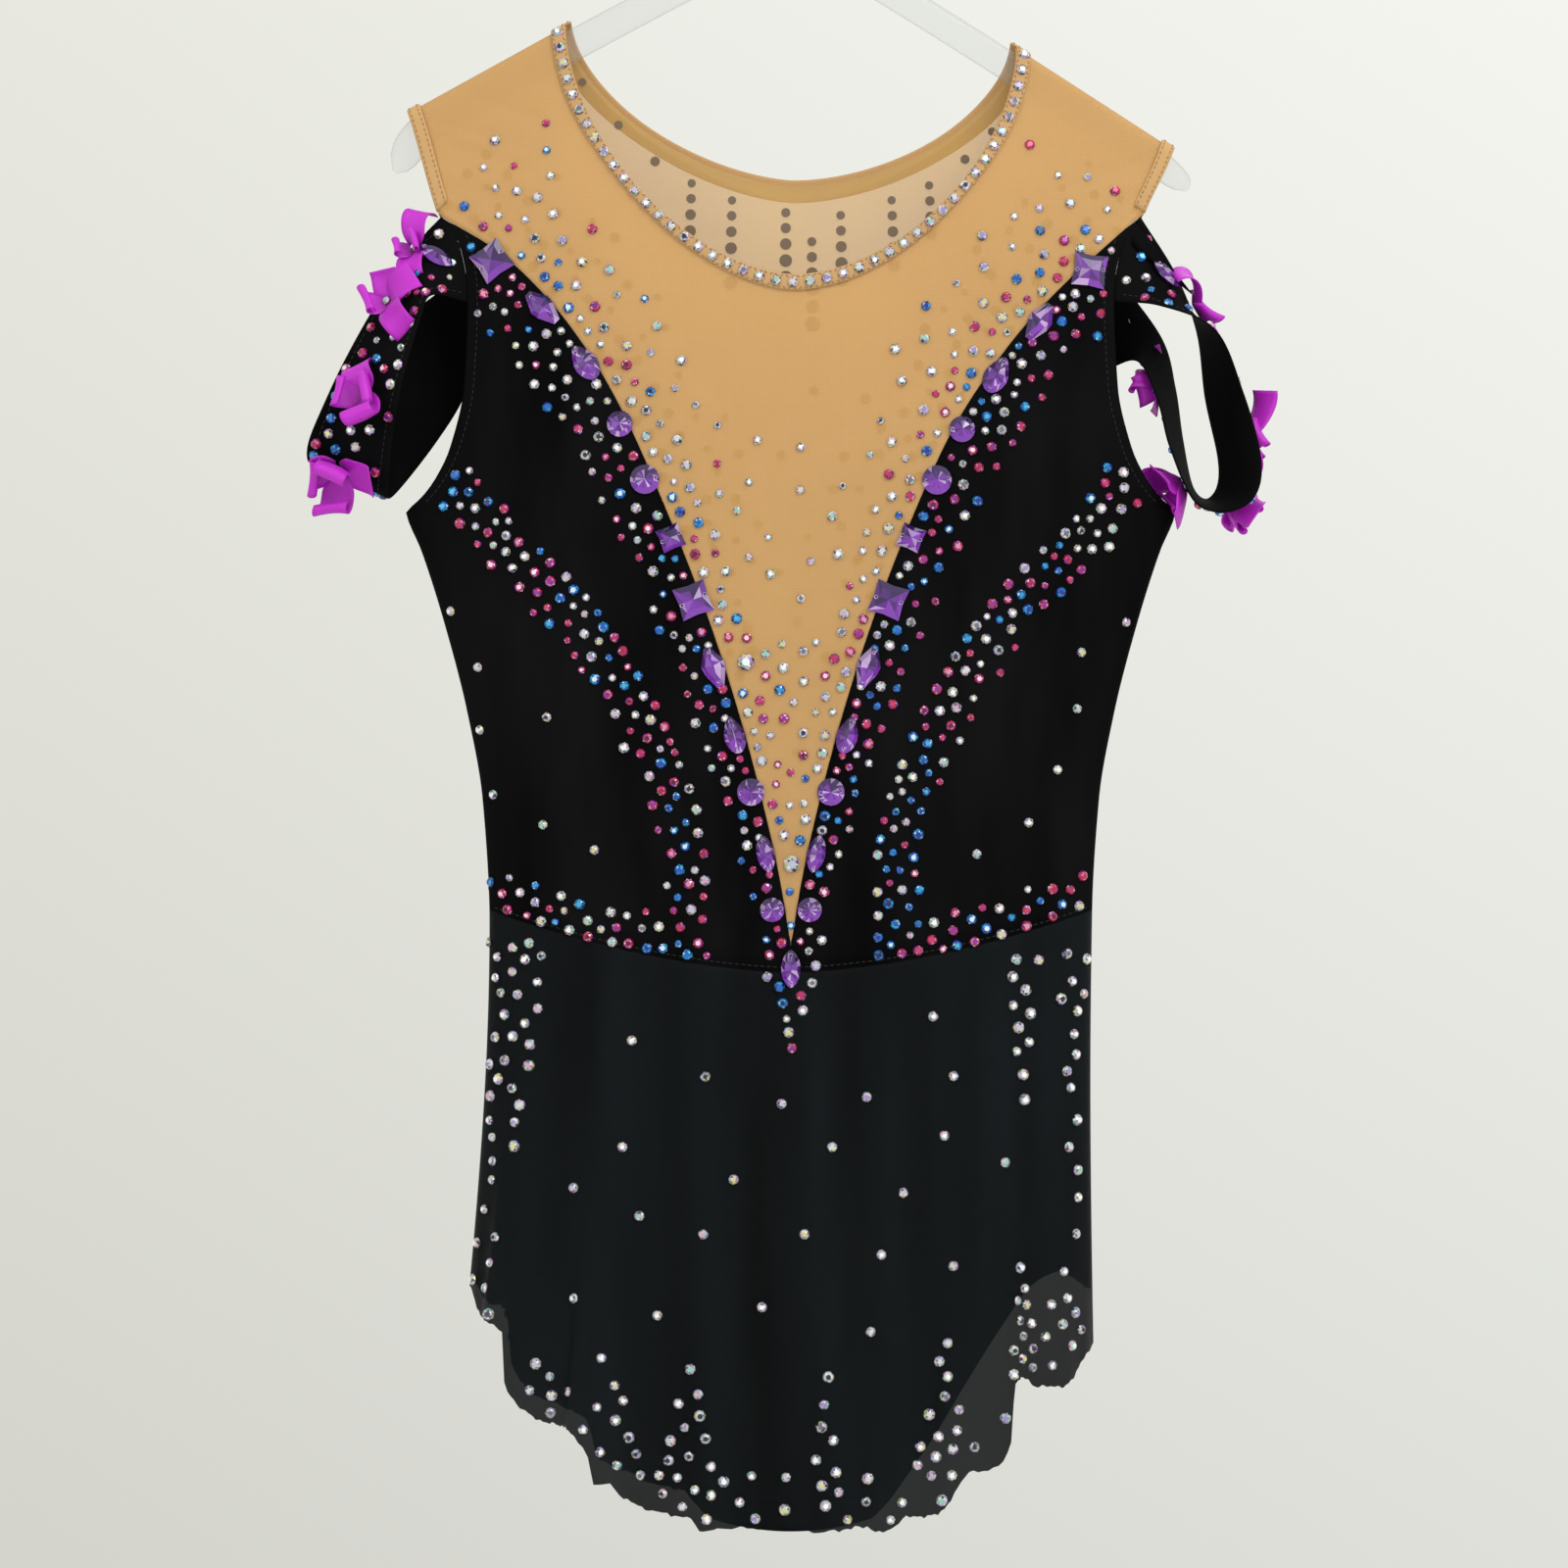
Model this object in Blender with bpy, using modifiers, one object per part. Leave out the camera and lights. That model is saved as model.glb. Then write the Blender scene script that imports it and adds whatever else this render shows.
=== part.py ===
"""A rhythmic gymnastics leotard hung on a clear hanger, as closed solids.

Tables and functions here are in millimetres, and meshes are made in metres, +Z up.
A place on the garment is (across, drop). Across runs to the right of the garment's
middle line, and drop runs down from the inner top of the hanger's hook, which is the
origin. The front of the garment faces -Y. Cloth surfaces are worked out as grids on
one flattened tube, the outer face of the cloth, and get their wall inwards.
"""

import math

import bmesh
import bpy
import numpy as np
from mathutils import Matrix, Vector

MM = 0.001
OBJECT_NAME = "gymnastics_leotard"

# Cloth and seams
WALL = 1.2
SEAM_GAP = 0.3
BINDING_CLEAR = 0.5
LIFT = BINDING_CLEAR + WALL
SEAM_COLUMN = 0.975
WAIST_GAP = 0.5
FRONT, BACK = -1, 1
LEFT, RIGHT = -1, 1
SIDES = ((LEFT, "left"), (RIGHT, "right"))

# How the garment hangs
MIDDLE_X = -5.0
HANG_SLOPE = 0.048
TILT_COLUMNS = ("across", "full_to", "gone_by")
TILT = [(90, 258, 357), (160, 181, 224)]

# The body tube: the outline seen from the front, and half its thickness front to back
TUBE_POWER = 2.5
TUBE_COLUMNS = ("drop", "half_width", "half_depth")
TUBE = [
    (130, 188.0, 13.0),
    (219, 187.0, 20.0),
    (300, 185.0, 25.0),
    (357, 178.5, 27.0),
    (375, 171.3, 27.0),
    (408, 160.8, 27.0),
    (450, 150.0, 26.5),
    (490, 143.0, 25.5),
    (543, 139.8, 24.0),
    (620, 139.0, 25.5),
    (840, 142.0, 31.0),
]

# Shoulders and neck
SHOULDER_SLOPE = 0.599
SHOULDER_OUT = (177.5, 180.0)
SHOULDER_ROUND = 5.8
SHOULDER_FADE = 110.0
NECK_HALF = 104.3
FRONT_NECK_LOW, FRONT_NECK_POWER = 249.1, 1.75
BACK_NECK_LOW, BACK_NECK_POWER = 203.0, 1.68
NECK_BINDING_WIDTH = 7.5
ARM_BINDING_WIDTH = 6.7
SHOULDER_LIP = (0.0, 0.06, 0.8, 2.6, 5.8)
NECKS = {FRONT: (FRONT_NECK_LOW, FRONT_NECK_POWER), BACK: (BACK_NECK_LOW, BACK_NECK_POWER)}
ARM_STEPS, V_STEPS, YOKE_COLUMNS = 3, 16, 6

# The edge between the nude mesh and the black cloth, from the armhole to the V's tip
TIP_CLEAR = 1.5
V_COLUMNS = ("drop", "across")
V_EDGE = [
    (219, 163.5),
    (247, 128.0),
    (276, 101.5),
    (312, 78.0),
    (348, 61.0),
    (405, 38.5),
    (455, 22.5),
    (491, 13.0),
    (527, 5.0),
    (557, 0.0),
]

# The black armhole, from the corner at the mesh to the underarm
ARMHOLE_COLUMNS = ("drop", "across")
ARMHOLE = [
    (219, 163.5),
    (235, 152.5),
    (258, 148.7),
    (300, 150.4),
    (328, 156.8),
    (341, 163.0),
    (350, 169.8),
    (357, 178.5),
]

ARMHOLE_ROWS, BODICE_COLUMNS = 8, 6
SIDE_ROWS = V_STEPS + 1 - ARMHOLE_ROWS
CORNER_PART, CORNER_CLEAR = 0.25, 0.8

# The waist seam, and the leg line of the brief
WAIST_MIDDLE, WAIST_RISE, WAIST_HALF, WAIST_POWER = 569.0, 28.0, 140.0, 1.7
BRIEF_HALF = 137.4
BRIEF_COLUMNS = ("drop", "half_depth")
BRIEF = [(540, 22.3), (640, 22.8), (703, 20.0), (760, 14.0), (812, 8.6)]
LEG_COLUMNS = ("drop", "across")
LEG_LINE = [(703, 137.4), (712, 113.0), (730, 99.0), (757, 82.0), (784, 66.0), (812, 47.0)]
CROTCH_DROP, GUSSET_DEEP, GUSSET_HALF, GUSSET_CURVE = 812.0, 17.7, 37.0, 6.0
BRIEF_STEPS, GUSSET_STEPS = (9, 10), (8, 4)

# The skirt: each soft fold stands out, leans aside and grows from the waist to the hem
FOLD_COLUMNS = ("across", "width", "out", "lean")
FRONT_FOLDS = [
    (-124, 8.5, 7.5, -8.0),
    (-84, 9.0, 6.0, -8.0),
    (-42, 14.0, 3.5, 0.0),
    (18, 13.0, 5.0, 2.0),
    (64, 13.0, 3.0, 0.0),
    (94, 9.0, 6.5, 8.5),
    (124, 9.0, 4.5, 3.0),
]
BACK_FOLDS = [
    (-112, 10.0, 6.0, -6.0),
    (-66, 13.0, 4.5, -3.0),
    (-20, 14.0, 4.0, 0.0),
    (30, 13.0, 5.0, 3.0),
    (78, 12.0, 4.0, 0.0),
    (116, 9.0, 6.5, 6.0),
]
FOLD_GROWTH = 1.5
SWAY = 4.5
SKIRT_ROWS, FRONT_COLUMNS, BACK_COLUMNS = 8, 44, 34
HEM_COLUMNS = ("across", "drop")
FRONT_HEM = [
    (-140, 722),
    (-128, 742),
    (-112, 774),
    (-90, 792),
    (-66, 813),
    (-30, 819),
    (30, 822),
    (60, 817),
    (78, 802),
    (92, 790),
    (106, 764),
    (126, 758),
    (140, 738),
]
BACK_HEM = [
    (-140, 722),
    (-124, 750),
    (-108, 768),
    (-92, 782),
    (-78, 797),
    (-62, 809),
    (-40, 815),
    (0, 821),
    (38, 818),
    (54, 803),
    (66, 782),
    (88, 750),
    (104, 724),
    (120, 711),
    (140, 718),
]
RUFFLE_WAVES, RUFFLE_OUT, RUFFLE_DROP, RUFFLE_SPAN = 12, 1.6, 1.8, 40.0

# The arm bands: the shoulder-side edge, then the hand-side edge, from front to back
BAND_COLUMNS = (
    "in_across", "in_drop", "in_y",
    "out_across", "out_drop", "out_y",
)
LEFT_BAND = [
    (-172.4, 232.7, -8, -164.7, 259.2, -28),
    (-191.0, 260.6, -10, -170.0, 272.3, -32),
    (-205.0, 285.8, -12, -176.0, 293.0, -32),
    (-215.0, 307.4, -14, -181.4, 317.3, -27),
    (-222.3, 325.4, -14, -185.0, 341.0, -20),
    (-223.0, 334.0, -6, -186.8, 350.5, -8),
    (-218.0, 329.0, 3, -182.3, 346.5, 3),
    (-201.0, 302.9, 9, -166.0, 325.0, 7),
    (-183.0, 278.0, 12, -153.5, 304.2, 12),
]
RIGHT_BAND = [
    (179.0, 246.6, 0, 169.0, 264.0, -30),
    (189.5, 272.7, 6, 194.0, 275.0, -29),
    (193.5, 302.9, 8, 207.0, 302.9, -26),
    (199.4, 330.8, 8, 215.5, 333.5, -25),
    (199.0, 344.5, 8, 212.5, 351.5, -24),
    (193.5, 350.5, 9, 199.0, 358.5, -23),
    (187.0, 344.0, 10, 184.5, 352.8, -22),
    (182.7, 321.8, 13, 173.7, 328.0, -20),
    (179.5, 297.5, 16, 168.8, 307.4, -16),
    (173.3, 273.6, 20, 161.0, 287.6, -4),
]
BAND_SEAM = 0.8
BAND_ENDS = ((FRONT, 221.5, 261.0), (BACK, 243.0, 288.0))
BAND_STEPS = (26, 3)

# Sew-on stones down the V: their girdle sizes, and where each pair lies
GEM_COLUMNS = ("kind", "across", "drop", "length", "width", "turn")
GEM_PAIRS = [
    ("square", 137.3, 244.6, 15.6, 15.6, 22),
    ("kite", 114.0, 267.5, 19.0, 11.0, 40),
    ("drop", 94.3, 292.5, 18.0, 11.5, 32),
    ("round", 78.3, 319.2, 12.0, 12.0, 0),
    ("round", 66.8, 343.6, 13.5, 13.5, 0),
    ("square", 54.9, 370.2, 11.0, 11.0, 22),
    ("square", 44.6, 398.7, 15.2, 15.2, 20),
    ("kite", 35.3, 429.4, 19.0, 11.0, 20),
    ("drop", 25.9, 460.4, 17.5, 10.0, 16),
    ("round", 18.3, 486.5, 12.6, 12.6, 0),
    ("navette", 11.6, 514.8, 17.5, 8.4, 12),
    ("round", 8.6, 540.5, 11.2, 11.2, 0),
]
MIDDLE_GEM = ("navette", 0.0, 567.5, 17.5, 9.0, 0)
BAND_GEM = ("navette", 18.0, 8.2)
BAND_GEM_PLACE = {LEFT: (0.055, 0.42, 35), RIGHT: (0.075, 0.30, 100)}
BAND_GEM_CLEAR = 0.8
GEM_SIDES, NAVETTE_PINCH, DROP_PINCH = {"round": 10, "navette": 8, "drop": 9}, 0.35, 0.45
GEM_BASE, GEM_EDGE, GEM_HIGH, GEM_TABLE = 0.9, 0.9, 3.6, 0.42

# Ribbon flowers along each band: how far round, how far across, size and turn
FLOWER_COLUMNS = ("round", "over", "size", "turn")
LEFT_FLOWERS = [
    (0.106, 0.10, 21, 70),
    (0.192, 0.25, 25, 10),
    (0.36, 0.54, 28, 40),
    (0.54, 0.42, 31, 100),
    (0.76, 0.45, 26, 20),
]
RIGHT_FLOWERS = [
    (0.15, 0.30, 26, 50),
    (0.34, 0.60, 24, 10),
    (0.48, 0.50, 26, 80),
    (0.66, 0.62, 28, 30),
    (0.85, 0.62, 24, 60),
]
FLOWER_PETALS, FLOWER_WALL, FLOWER_CUP = 4, 1.4, 0.30
FLOWER_RINGS, FLOWER_NOTCH, CUP_POWER = (0.28, 0.66, 1.0), 0.42, 1.6

# The hanger
ARM_HALF_HEIGHT, ARM_HALF_THICK, ARM_POWER = 7.0, 3.5, 3.0
ARM_LINE_TOP, ARM_ROUND_APEX = 83.6, 18.0
ARM_HALF_SPAN, ARM_BEND_FROM, ARM_BEND = 184.0, 164.0, 0.022
ARM_STATIONS, ARM_SIDES, ARM_TIP = 21, 12, (0.55, 0.95)
BOSS_RADIUS, BOSS_TOP, BOSS_BOTTOM = 6.0, 76.0, 92.0
HOOK_WIRE, HOOK_INNER, HOOK_STEM_TOP = 1.8, 20.0, 52.0
HOOK_SWEEP = ((0.0, -52.0), (5.0, -45.5), (13.5, -38.5))
HOOK_FROM, HOOK_TO, HOOK_STEP = -32, 201, 12
HOOK_LEAN = math.atan2(-MIDDLE_X, BOSS_TOP)

NUDE = (0.66, 0.42, 0.17)
BLACK = (0.008, 0.008, 0.010)
SHEER = (0.010, 0.011, 0.013)


def rows_of(table, columns):
    """The rows of a table, each as a dictionary by column name."""
    return [dict(zip(columns, row)) for row in table]


def smooth_curve(table, columns, given, wanted):
    """A curve through two columns of a table that never overshoots its rows."""
    xs = np.array([row[given] for row in rows_of(table, columns)], float)
    ys = np.array([row[wanted] for row in rows_of(table, columns)], float)
    steps = np.diff(ys) / np.diff(xs)
    slopes = np.concatenate([steps[:1], np.zeros(len(xs) - 2), steps[-1:]])
    if len(xs) > 2:
        same = steps[:-1] * steps[1:] > 0
        both = np.where(same, steps[:-1] + steps[1:], 1)
        slopes[1:-1] = np.where(same, 2 * steps[:-1] * steps[1:] / both, 0)

    def read(x):
        x = np.clip(np.asarray(x, float), xs[0], xs[-1])
        i = np.clip(np.searchsorted(xs, x, side="right") - 1, 0, len(xs) - 2)
        span = xs[i + 1] - xs[i]
        t = (x - xs[i]) / span
        start = ys[i] * (1 + 2 * t) + slopes[i] * span * t
        end = ys[i + 1] * (3 - 2 * t) + slopes[i + 1] * span * (t - 1)
        return start * (1 - t) ** 2 + end * t**2

    return read


half_width = smooth_curve(TUBE, TUBE_COLUMNS, "drop", "half_width")
half_depth = smooth_curve(TUBE, TUBE_COLUMNS, "drop", "half_depth")
v_across = smooth_curve(V_EDGE, V_COLUMNS, "drop", "across")
armhole_across = smooth_curve(ARMHOLE, ARMHOLE_COLUMNS, "drop", "across")
brief_depth = smooth_curve(BRIEF, BRIEF_COLUMNS, "drop", "half_depth")
leg_across = smooth_curve(LEG_LINE, LEG_COLUMNS, "drop", "across")
tilt_full_to = smooth_curve(TILT, TILT_COLUMNS, "across", "full_to")
tilt_gone_by = smooth_curve(TILT, TILT_COLUMNS, "across", "gone_by")


def eased(t):
    """0 to 1 with level ends, for t from 0 to 1."""
    t = np.clip(t, 0, 1)
    return t * t * (3 - 2 * t)


def shoulder_drop(across):
    """The straight line of the shoulder seam, carried on over the neck."""
    return SHOULDER_OUT[1] - SHOULDER_SLOPE * (SHOULDER_OUT[0] - np.abs(across))


def waist_drop(across):
    """The waist seam: lowest in the middle, rising to each side."""
    part = np.clip(np.abs(across) / WAIST_HALF, 0, 1)
    return WAIST_MIDDLE - WAIST_RISE * part**WAIST_POWER


def hung(across, drop, y):
    """A place on the garment as points in metres, with the tilt of the hanger."""
    across, drop, y = np.broadcast_arrays(across, drop, y)
    start, end = tilt_full_to(np.abs(across)), tilt_gone_by(np.abs(across))
    tilt = HANG_SLOPE * across * (1 - eased((drop - start) / (end - start)))
    return np.stack([across + MIDDLE_X, y, -(drop + tilt)], axis=-1) * MM


def bearing(across, drop):
    """How far round the body tube a place is: 0 in the middle, a right angle at the side."""
    part = np.clip(np.abs(across) / half_width(drop), 0, 1)
    return np.sign(across) * np.arcsin(part ** (TUBE_POWER / 2))


def side_bearing(drop, gap=SEAM_GAP / 2):
    """The bearing of the side seam, which stops half a seam gap from the middle plane."""
    return np.arccos((gap / half_depth(drop)) ** (TUBE_POWER / 2))


def on_tube(angle, drop, face):
    """Points of the cloth's outer face, round the tube and narrowed over the shoulder."""
    across = half_width(drop) * np.sign(angle) * np.abs(np.sin(angle)) ** (2 / TUBE_POWER)
    tube = half_depth(drop) * np.abs(np.cos(angle)) ** (2 / TUBE_POWER)
    below = np.maximum(drop - shoulder_drop(across), 0)
    lip = SHOULDER_ROUND * np.sqrt(1 - (1 - np.minimum(below / SHOULDER_ROUND, 1)) ** 2)
    rise = 1 - (1 - np.minimum(below / SHOULDER_FADE, 1)) ** 2
    shoulder = lip + (tube - SHOULDER_ROUND) * rise
    depth = np.where(below < SHOULDER_FADE, shoulder, tube)
    return across, drop, face * np.maximum(depth, SEAM_GAP / 2)


def evenly(points, count):
    """The points of a line, count + 1 of them spaced evenly along it."""
    points = np.asarray(points, float)
    along = np.concatenate([[0], np.cumsum(np.linalg.norm(np.diff(points, axis=0), axis=1))])
    at = np.linspace(0, along[-1], count + 1)
    return np.stack([np.interp(at, along, points[:, k]) for k in (0, 1)], axis=1)


def shifted(points, distance):
    """A line of (across, drop) points moved sideways, to its right going down."""
    along = np.gradient(points, axis=0)
    along /= np.linalg.norm(along, axis=1, keepdims=True)
    return points + distance * np.stack([along[:, 1], -along[:, 0]], axis=1)


def between(start, end, parts, straight=False):
    """Places between two lines of points, even in drop and in bearing, or in across."""
    parts = np.asarray(parts, float)
    if straight:
        across = start[:, 0][:, None] * (1 - parts) + end[:, 0][:, None] * parts
        drop = start[:, 1][:, None] * (1 - parts) + end[:, 1][:, None] * parts
        return bearing(across, drop), drop
    angles = []
    for line in (start, end):
        limit = side_bearing(line[:, 1])
        angles.append(np.clip(bearing(line[:, 0], line[:, 1]), -limit, limit)[:, None])
    angle = angles[0] * (1 - parts) + angles[1] * parts
    drop = start[:, 1][:, None] * (1 - parts) + end[:, 1][:, None] * parts
    return angle, drop


def seam_to_seam(columns):
    """Parts from one side seam to the other, with a narrow column at each seam."""
    even = np.linspace(-1, 1, columns + 1)[1:-1]
    return np.concatenate([[-1, -SEAM_COLUMN], even, [SEAM_COLUMN, 1]])


def mirrored(half):
    """A line from the right shoulder to the middle, carried on to the left one."""
    other = half[:-1][::-1] * np.array([-1, 1])
    return np.concatenate([half, other])


def material(name, colour, roughness, metallic=0.0, alpha=1.0):
    made = bpy.data.materials.get(name) or bpy.data.materials.new(name)
    made.use_nodes = True
    made.diffuse_color = (*colour, alpha)
    shader = made.node_tree.nodes["Principled BSDF"]
    shader.inputs["Base Color"].default_value = (*colour, 1)
    shader.inputs["Roughness"].default_value = roughness
    shader.inputs["Metallic"].default_value = metallic
    shader.inputs["Alpha"].default_value = alpha
    return made


def add_object(name, mesh, finish):
    mesh.materials.append(finish)
    made = bpy.data.objects.new(name, mesh)
    bpy.data.collections[OBJECT_NAME].objects.link(made)
    return made


def normals_of(grid):
    """Unit normals of a grid of points, from its two directions."""
    down, over = np.gradient(grid, axis=0), np.gradient(grid, axis=1)
    normal = np.cross(down, over)
    return normal / np.linalg.norm(normal, axis=2, keepdims=True)


def facing_out(grid, inside):
    """The grid with its faces turned away from the point inside."""
    row, column = grid.shape[0] // 2, grid.shape[1] // 2
    place = grid[row, column]
    if inside is None:
        inside = place * np.array([1, 0, 1])
    return grid if normals_of(grid)[row, column] @ (place - inside) > 0 else grid[:, ::-1]


def cloth(name, grid, finish, inside=None, wall=WALL):
    """A panel: a grid of points on its outer face, with a wall given to its inside."""
    grid = facing_out(grid, inside)
    rows, columns = grid.shape[:2]
    index = np.arange(rows * columns).reshape(rows, columns)
    corners = [index[:-1, :-1], index[1:, :-1], index[1:, 1:], index[:-1, 1:]]
    faces = np.stack([corner.ravel() for corner in corners], axis=1)
    mesh = bpy.data.meshes.new(name)
    mesh.from_pydata(grid.reshape(-1, 3).tolist(), [], faces.tolist())
    mesh.shade_smooth()
    made = add_object(name, mesh, finish)
    solid = made.modifiers.new("wall", "SOLIDIFY")
    solid.thickness = wall * MM
    solid.offset = -1
    solid.use_even_offset = True
    return made


def lifted(grid, inside=None, by=LIFT):
    """A grid moved out along its own normals, to lie on a panel made from the same points."""
    grid = facing_out(grid, inside)
    return grid + by * MM * normals_of(grid)


# Neck, yokes and their bindings


def neck_line(low, power, count):
    """Half a neckline, from the right shoulder down to the middle, as a rounded curve."""
    angle = np.linspace(0, math.pi / 2, count)
    top = shoulder_drop(NECK_HALF)
    across = NECK_HALF * np.cos(angle) ** (2 / power)
    drop = top + (low - top) * np.sin(angle) ** (2 / power)
    return np.stack([across, drop], axis=1)


def at_lip(points, below):
    """The places where a line is that far below the shoulder line."""
    depth = points[:, 1] - shoulder_drop(points[:, 0])
    return np.stack([np.interp(below, depth, points[:, k]) for k in (0, 1)], axis=1)


def mesh_edge(count=400):
    """The black cloth's edge in the mesh, from the armhole to the tip of the V."""
    drop = np.linspace(V_EDGE[0][0], V_EDGE[-1][0], count)
    return np.stack([v_across(drop), drop], axis=1)


def yoke_lines(low, power):
    """The yoke's neck edge and its outer edge, point for point, across both shoulders."""
    neck = neck_line(low, power, 600)
    shoulder = np.array([SHOULDER_OUT, V_EDGE[0][::-1]], float)
    lip = np.array(SHOULDER_LIP)
    inner_lip, outer_lip = at_lip(neck[:560], lip), at_lip(shoulder, lip)
    rest = neck[neck[:, 1] > inner_lip[-1, 1]]
    inner = evenly(np.vstack([inner_lip[-1:], rest]), ARM_STEPS + V_STEPS)
    arm = evenly(np.vstack([outer_lip[-1:], shoulder[-1:]]), ARM_STEPS)
    v_line = shifted(evenly(mesh_edge(), V_STEPS), -SEAM_GAP / 2)
    v_line[-1] = (0.0, V_EDGE[-1][0] - TIP_CLEAR)
    outer = np.vstack([outer_lip[:-1], arm[:-1], v_line])
    inner = np.vstack([inner_lip[:-1], inner])
    return mirrored(inner), mirrored(outer)


def shoulder_cloth(low, power, face, parts):
    """A grid over the yoke, with the parts going from its neck edge to its outer edge."""
    inner, outer = yoke_lines(low, power)
    angle, drop = between(inner, outer, parts, straight=True)
    return hung(*on_tube(angle, drop, face))


def make_yoke(name, face, finish):
    parts = np.linspace(0, 1, YOKE_COLUMNS + 1)
    cloth(name, shoulder_cloth(*NECKS[face], face, parts), finish)


def make_neck_binding(name, face, finish):
    """A strip along the neck edge, as wide everywhere, lying on the yoke."""
    inner, outer = yoke_lines(*NECKS[face])
    reach = np.linalg.norm(outer - inner, axis=1)
    parts = np.array([0, 1]) * (NECK_BINDING_WIDTH / reach)[:, None]
    angle, drop = between(inner, outer, parts, straight=True)
    cloth(name, lifted(hung(*on_tube(angle, drop, face))), finish)


def make_arm_binding(name, side, finish):
    """A strip round the nude part of the armhole, from the front over the shoulder."""
    faces = []
    for face in (FRONT, BACK):
        inner, outer = yoke_lines(*NECKS[face])
        last = len(SHOULDER_LIP) + ARM_STEPS - 1
        inner, outer = inner[:last], outer[:last]
        reach = np.linalg.norm(outer - inner, axis=1)
        parts = 1 - np.array([0, 1]) * (ARM_BINDING_WIDTH / reach)[:, None]
        angle, drop = between(inner, outer, parts, straight=True)
        grid = hung(*on_tube(side * angle, drop, face))
        faces.append(grid)
    front, back = faces
    front[0, :, 1] = back[0, :, 1] = 0
    grid = np.concatenate([front[::-1], back[1:]])
    inside = grid[len(grid) // 2, 1] - np.array([0, 0, SHOULDER_FADE]) * MM
    cloth(name, lifted(grid, inside), finish, inside)


# Bodice


def armhole_line(count=300):
    """The black armhole's edge, from the mesh corner to the underarm."""
    drop = np.linspace(ARMHOLE[0][0] + 0.5, ARMHOLE[-1][0], count)
    return np.stack([armhole_across(drop) - SEAM_GAP / 2, drop], axis=1)


def bodice_grid(side, face):
    """Half the bodice: from the V and the middle seam to the armhole and the side seam."""
    rows = ARMHOLE_ROWS + SIDE_ROWS
    inner = shifted(evenly(mesh_edge(), V_STEPS), SEAM_GAP / 2)
    inner[0] += (inner[1] - inner[0]) * CORNER_PART + (0, CORNER_CLEAR)
    inner[:, 0] = np.maximum(inner[:, 0], SEAM_GAP / 2)
    inner = np.vstack([inner, [(SEAM_GAP / 2, WAIST_MIDDLE - SEAM_GAP / 2)]])
    waist_side = waist_drop(WAIST_HALF) - SEAM_GAP / 2
    side_drop = np.linspace(ARMHOLE[-1][0], waist_side, SIDE_ROWS + 1)[1:]
    seam = np.stack([half_width(side_drop), side_drop], axis=1)
    outer = np.vstack([evenly(armhole_line(), ARMHOLE_ROWS), seam])
    parts = np.append(np.linspace(0, 1, BODICE_COLUMNS + 1)[:-1], (SEAM_COLUMN, 1))
    angle, drop = between(inner, outer, parts)
    across = half_width(drop) * np.sin(angle) ** (2 / TUBE_POWER)
    seam_drop = waist_drop(across[-1]) - SEAM_GAP / 2 - drop[-1]
    drop = drop + seam_drop * np.linspace(0, 1, rows + 1)[:, None] ** 4
    return hung(*on_tube(side * angle, drop, face))


# Brief, gusset and skirt


def brief_grid(face):
    """The brief: side seam, then leg line, with its top under the skirt's top edge."""
    rows, columns = BRIEF_STEPS
    leg_drop = np.linspace(LEG_LINE[0][0], CROTCH_DROP - SEAM_GAP / 2, 200)
    top = (BRIEF_HALF, waist_drop(WAIST_HALF) + WAIST_GAP)
    edge = np.vstack([top, np.stack([leg_across(leg_drop), leg_drop], axis=1)])
    edge = evenly(edge, rows)
    ratio = np.clip(edge[:, 0] / BRIEF_HALF, 0, 1)
    limit = np.arccos((WAIST_GAP / brief_depth(edge[:, 1])) ** (TUBE_POWER / 2))
    widest = np.minimum(np.arcsin(ratio ** (TUBE_POWER / 2)), limit)
    part = seam_to_seam(columns)
    angle = widest[:, None] * part
    across = BRIEF_HALF * np.sign(angle) * np.abs(np.sin(angle)) ** (2 / TUBE_POWER)
    middle = np.linspace(WAIST_MIDDLE + WAIST_GAP, CROTCH_DROP - SEAM_GAP / 2, rows + 1)
    reach = (np.abs(across) / np.maximum(edge[:, :1], 1)) ** WAIST_POWER
    drop = middle[:, None] + (edge[:, 1:] - middle[:, None]) * np.clip(reach, 0, 1)
    depth = brief_depth(drop) * np.cos(angle) ** (2 / TUBE_POWER)
    return hung(across, drop, face * np.maximum(depth, WAIST_GAP))


def gusset_grid():
    """A strip under the crotch, from the front seam round to the back one."""
    turn = np.linspace(0, math.pi, GUSSET_STEPS[0] + 1)[:, None]
    part = np.linspace(-1, 1, GUSSET_STEPS[1] + 1)
    down = np.sin(turn)
    half = LEG_LINE[-1][1] - (LEG_LINE[-1][1] - GUSSET_HALF) * down
    across = half * part
    drop = CROTCH_DROP + SEAM_GAP / 2 + GUSSET_DEEP * down - GUSSET_CURVE * down * part**2
    return hung(across, drop, -brief_depth(CROTCH_DROP) * np.cos(turn) + 0 * part)


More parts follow.
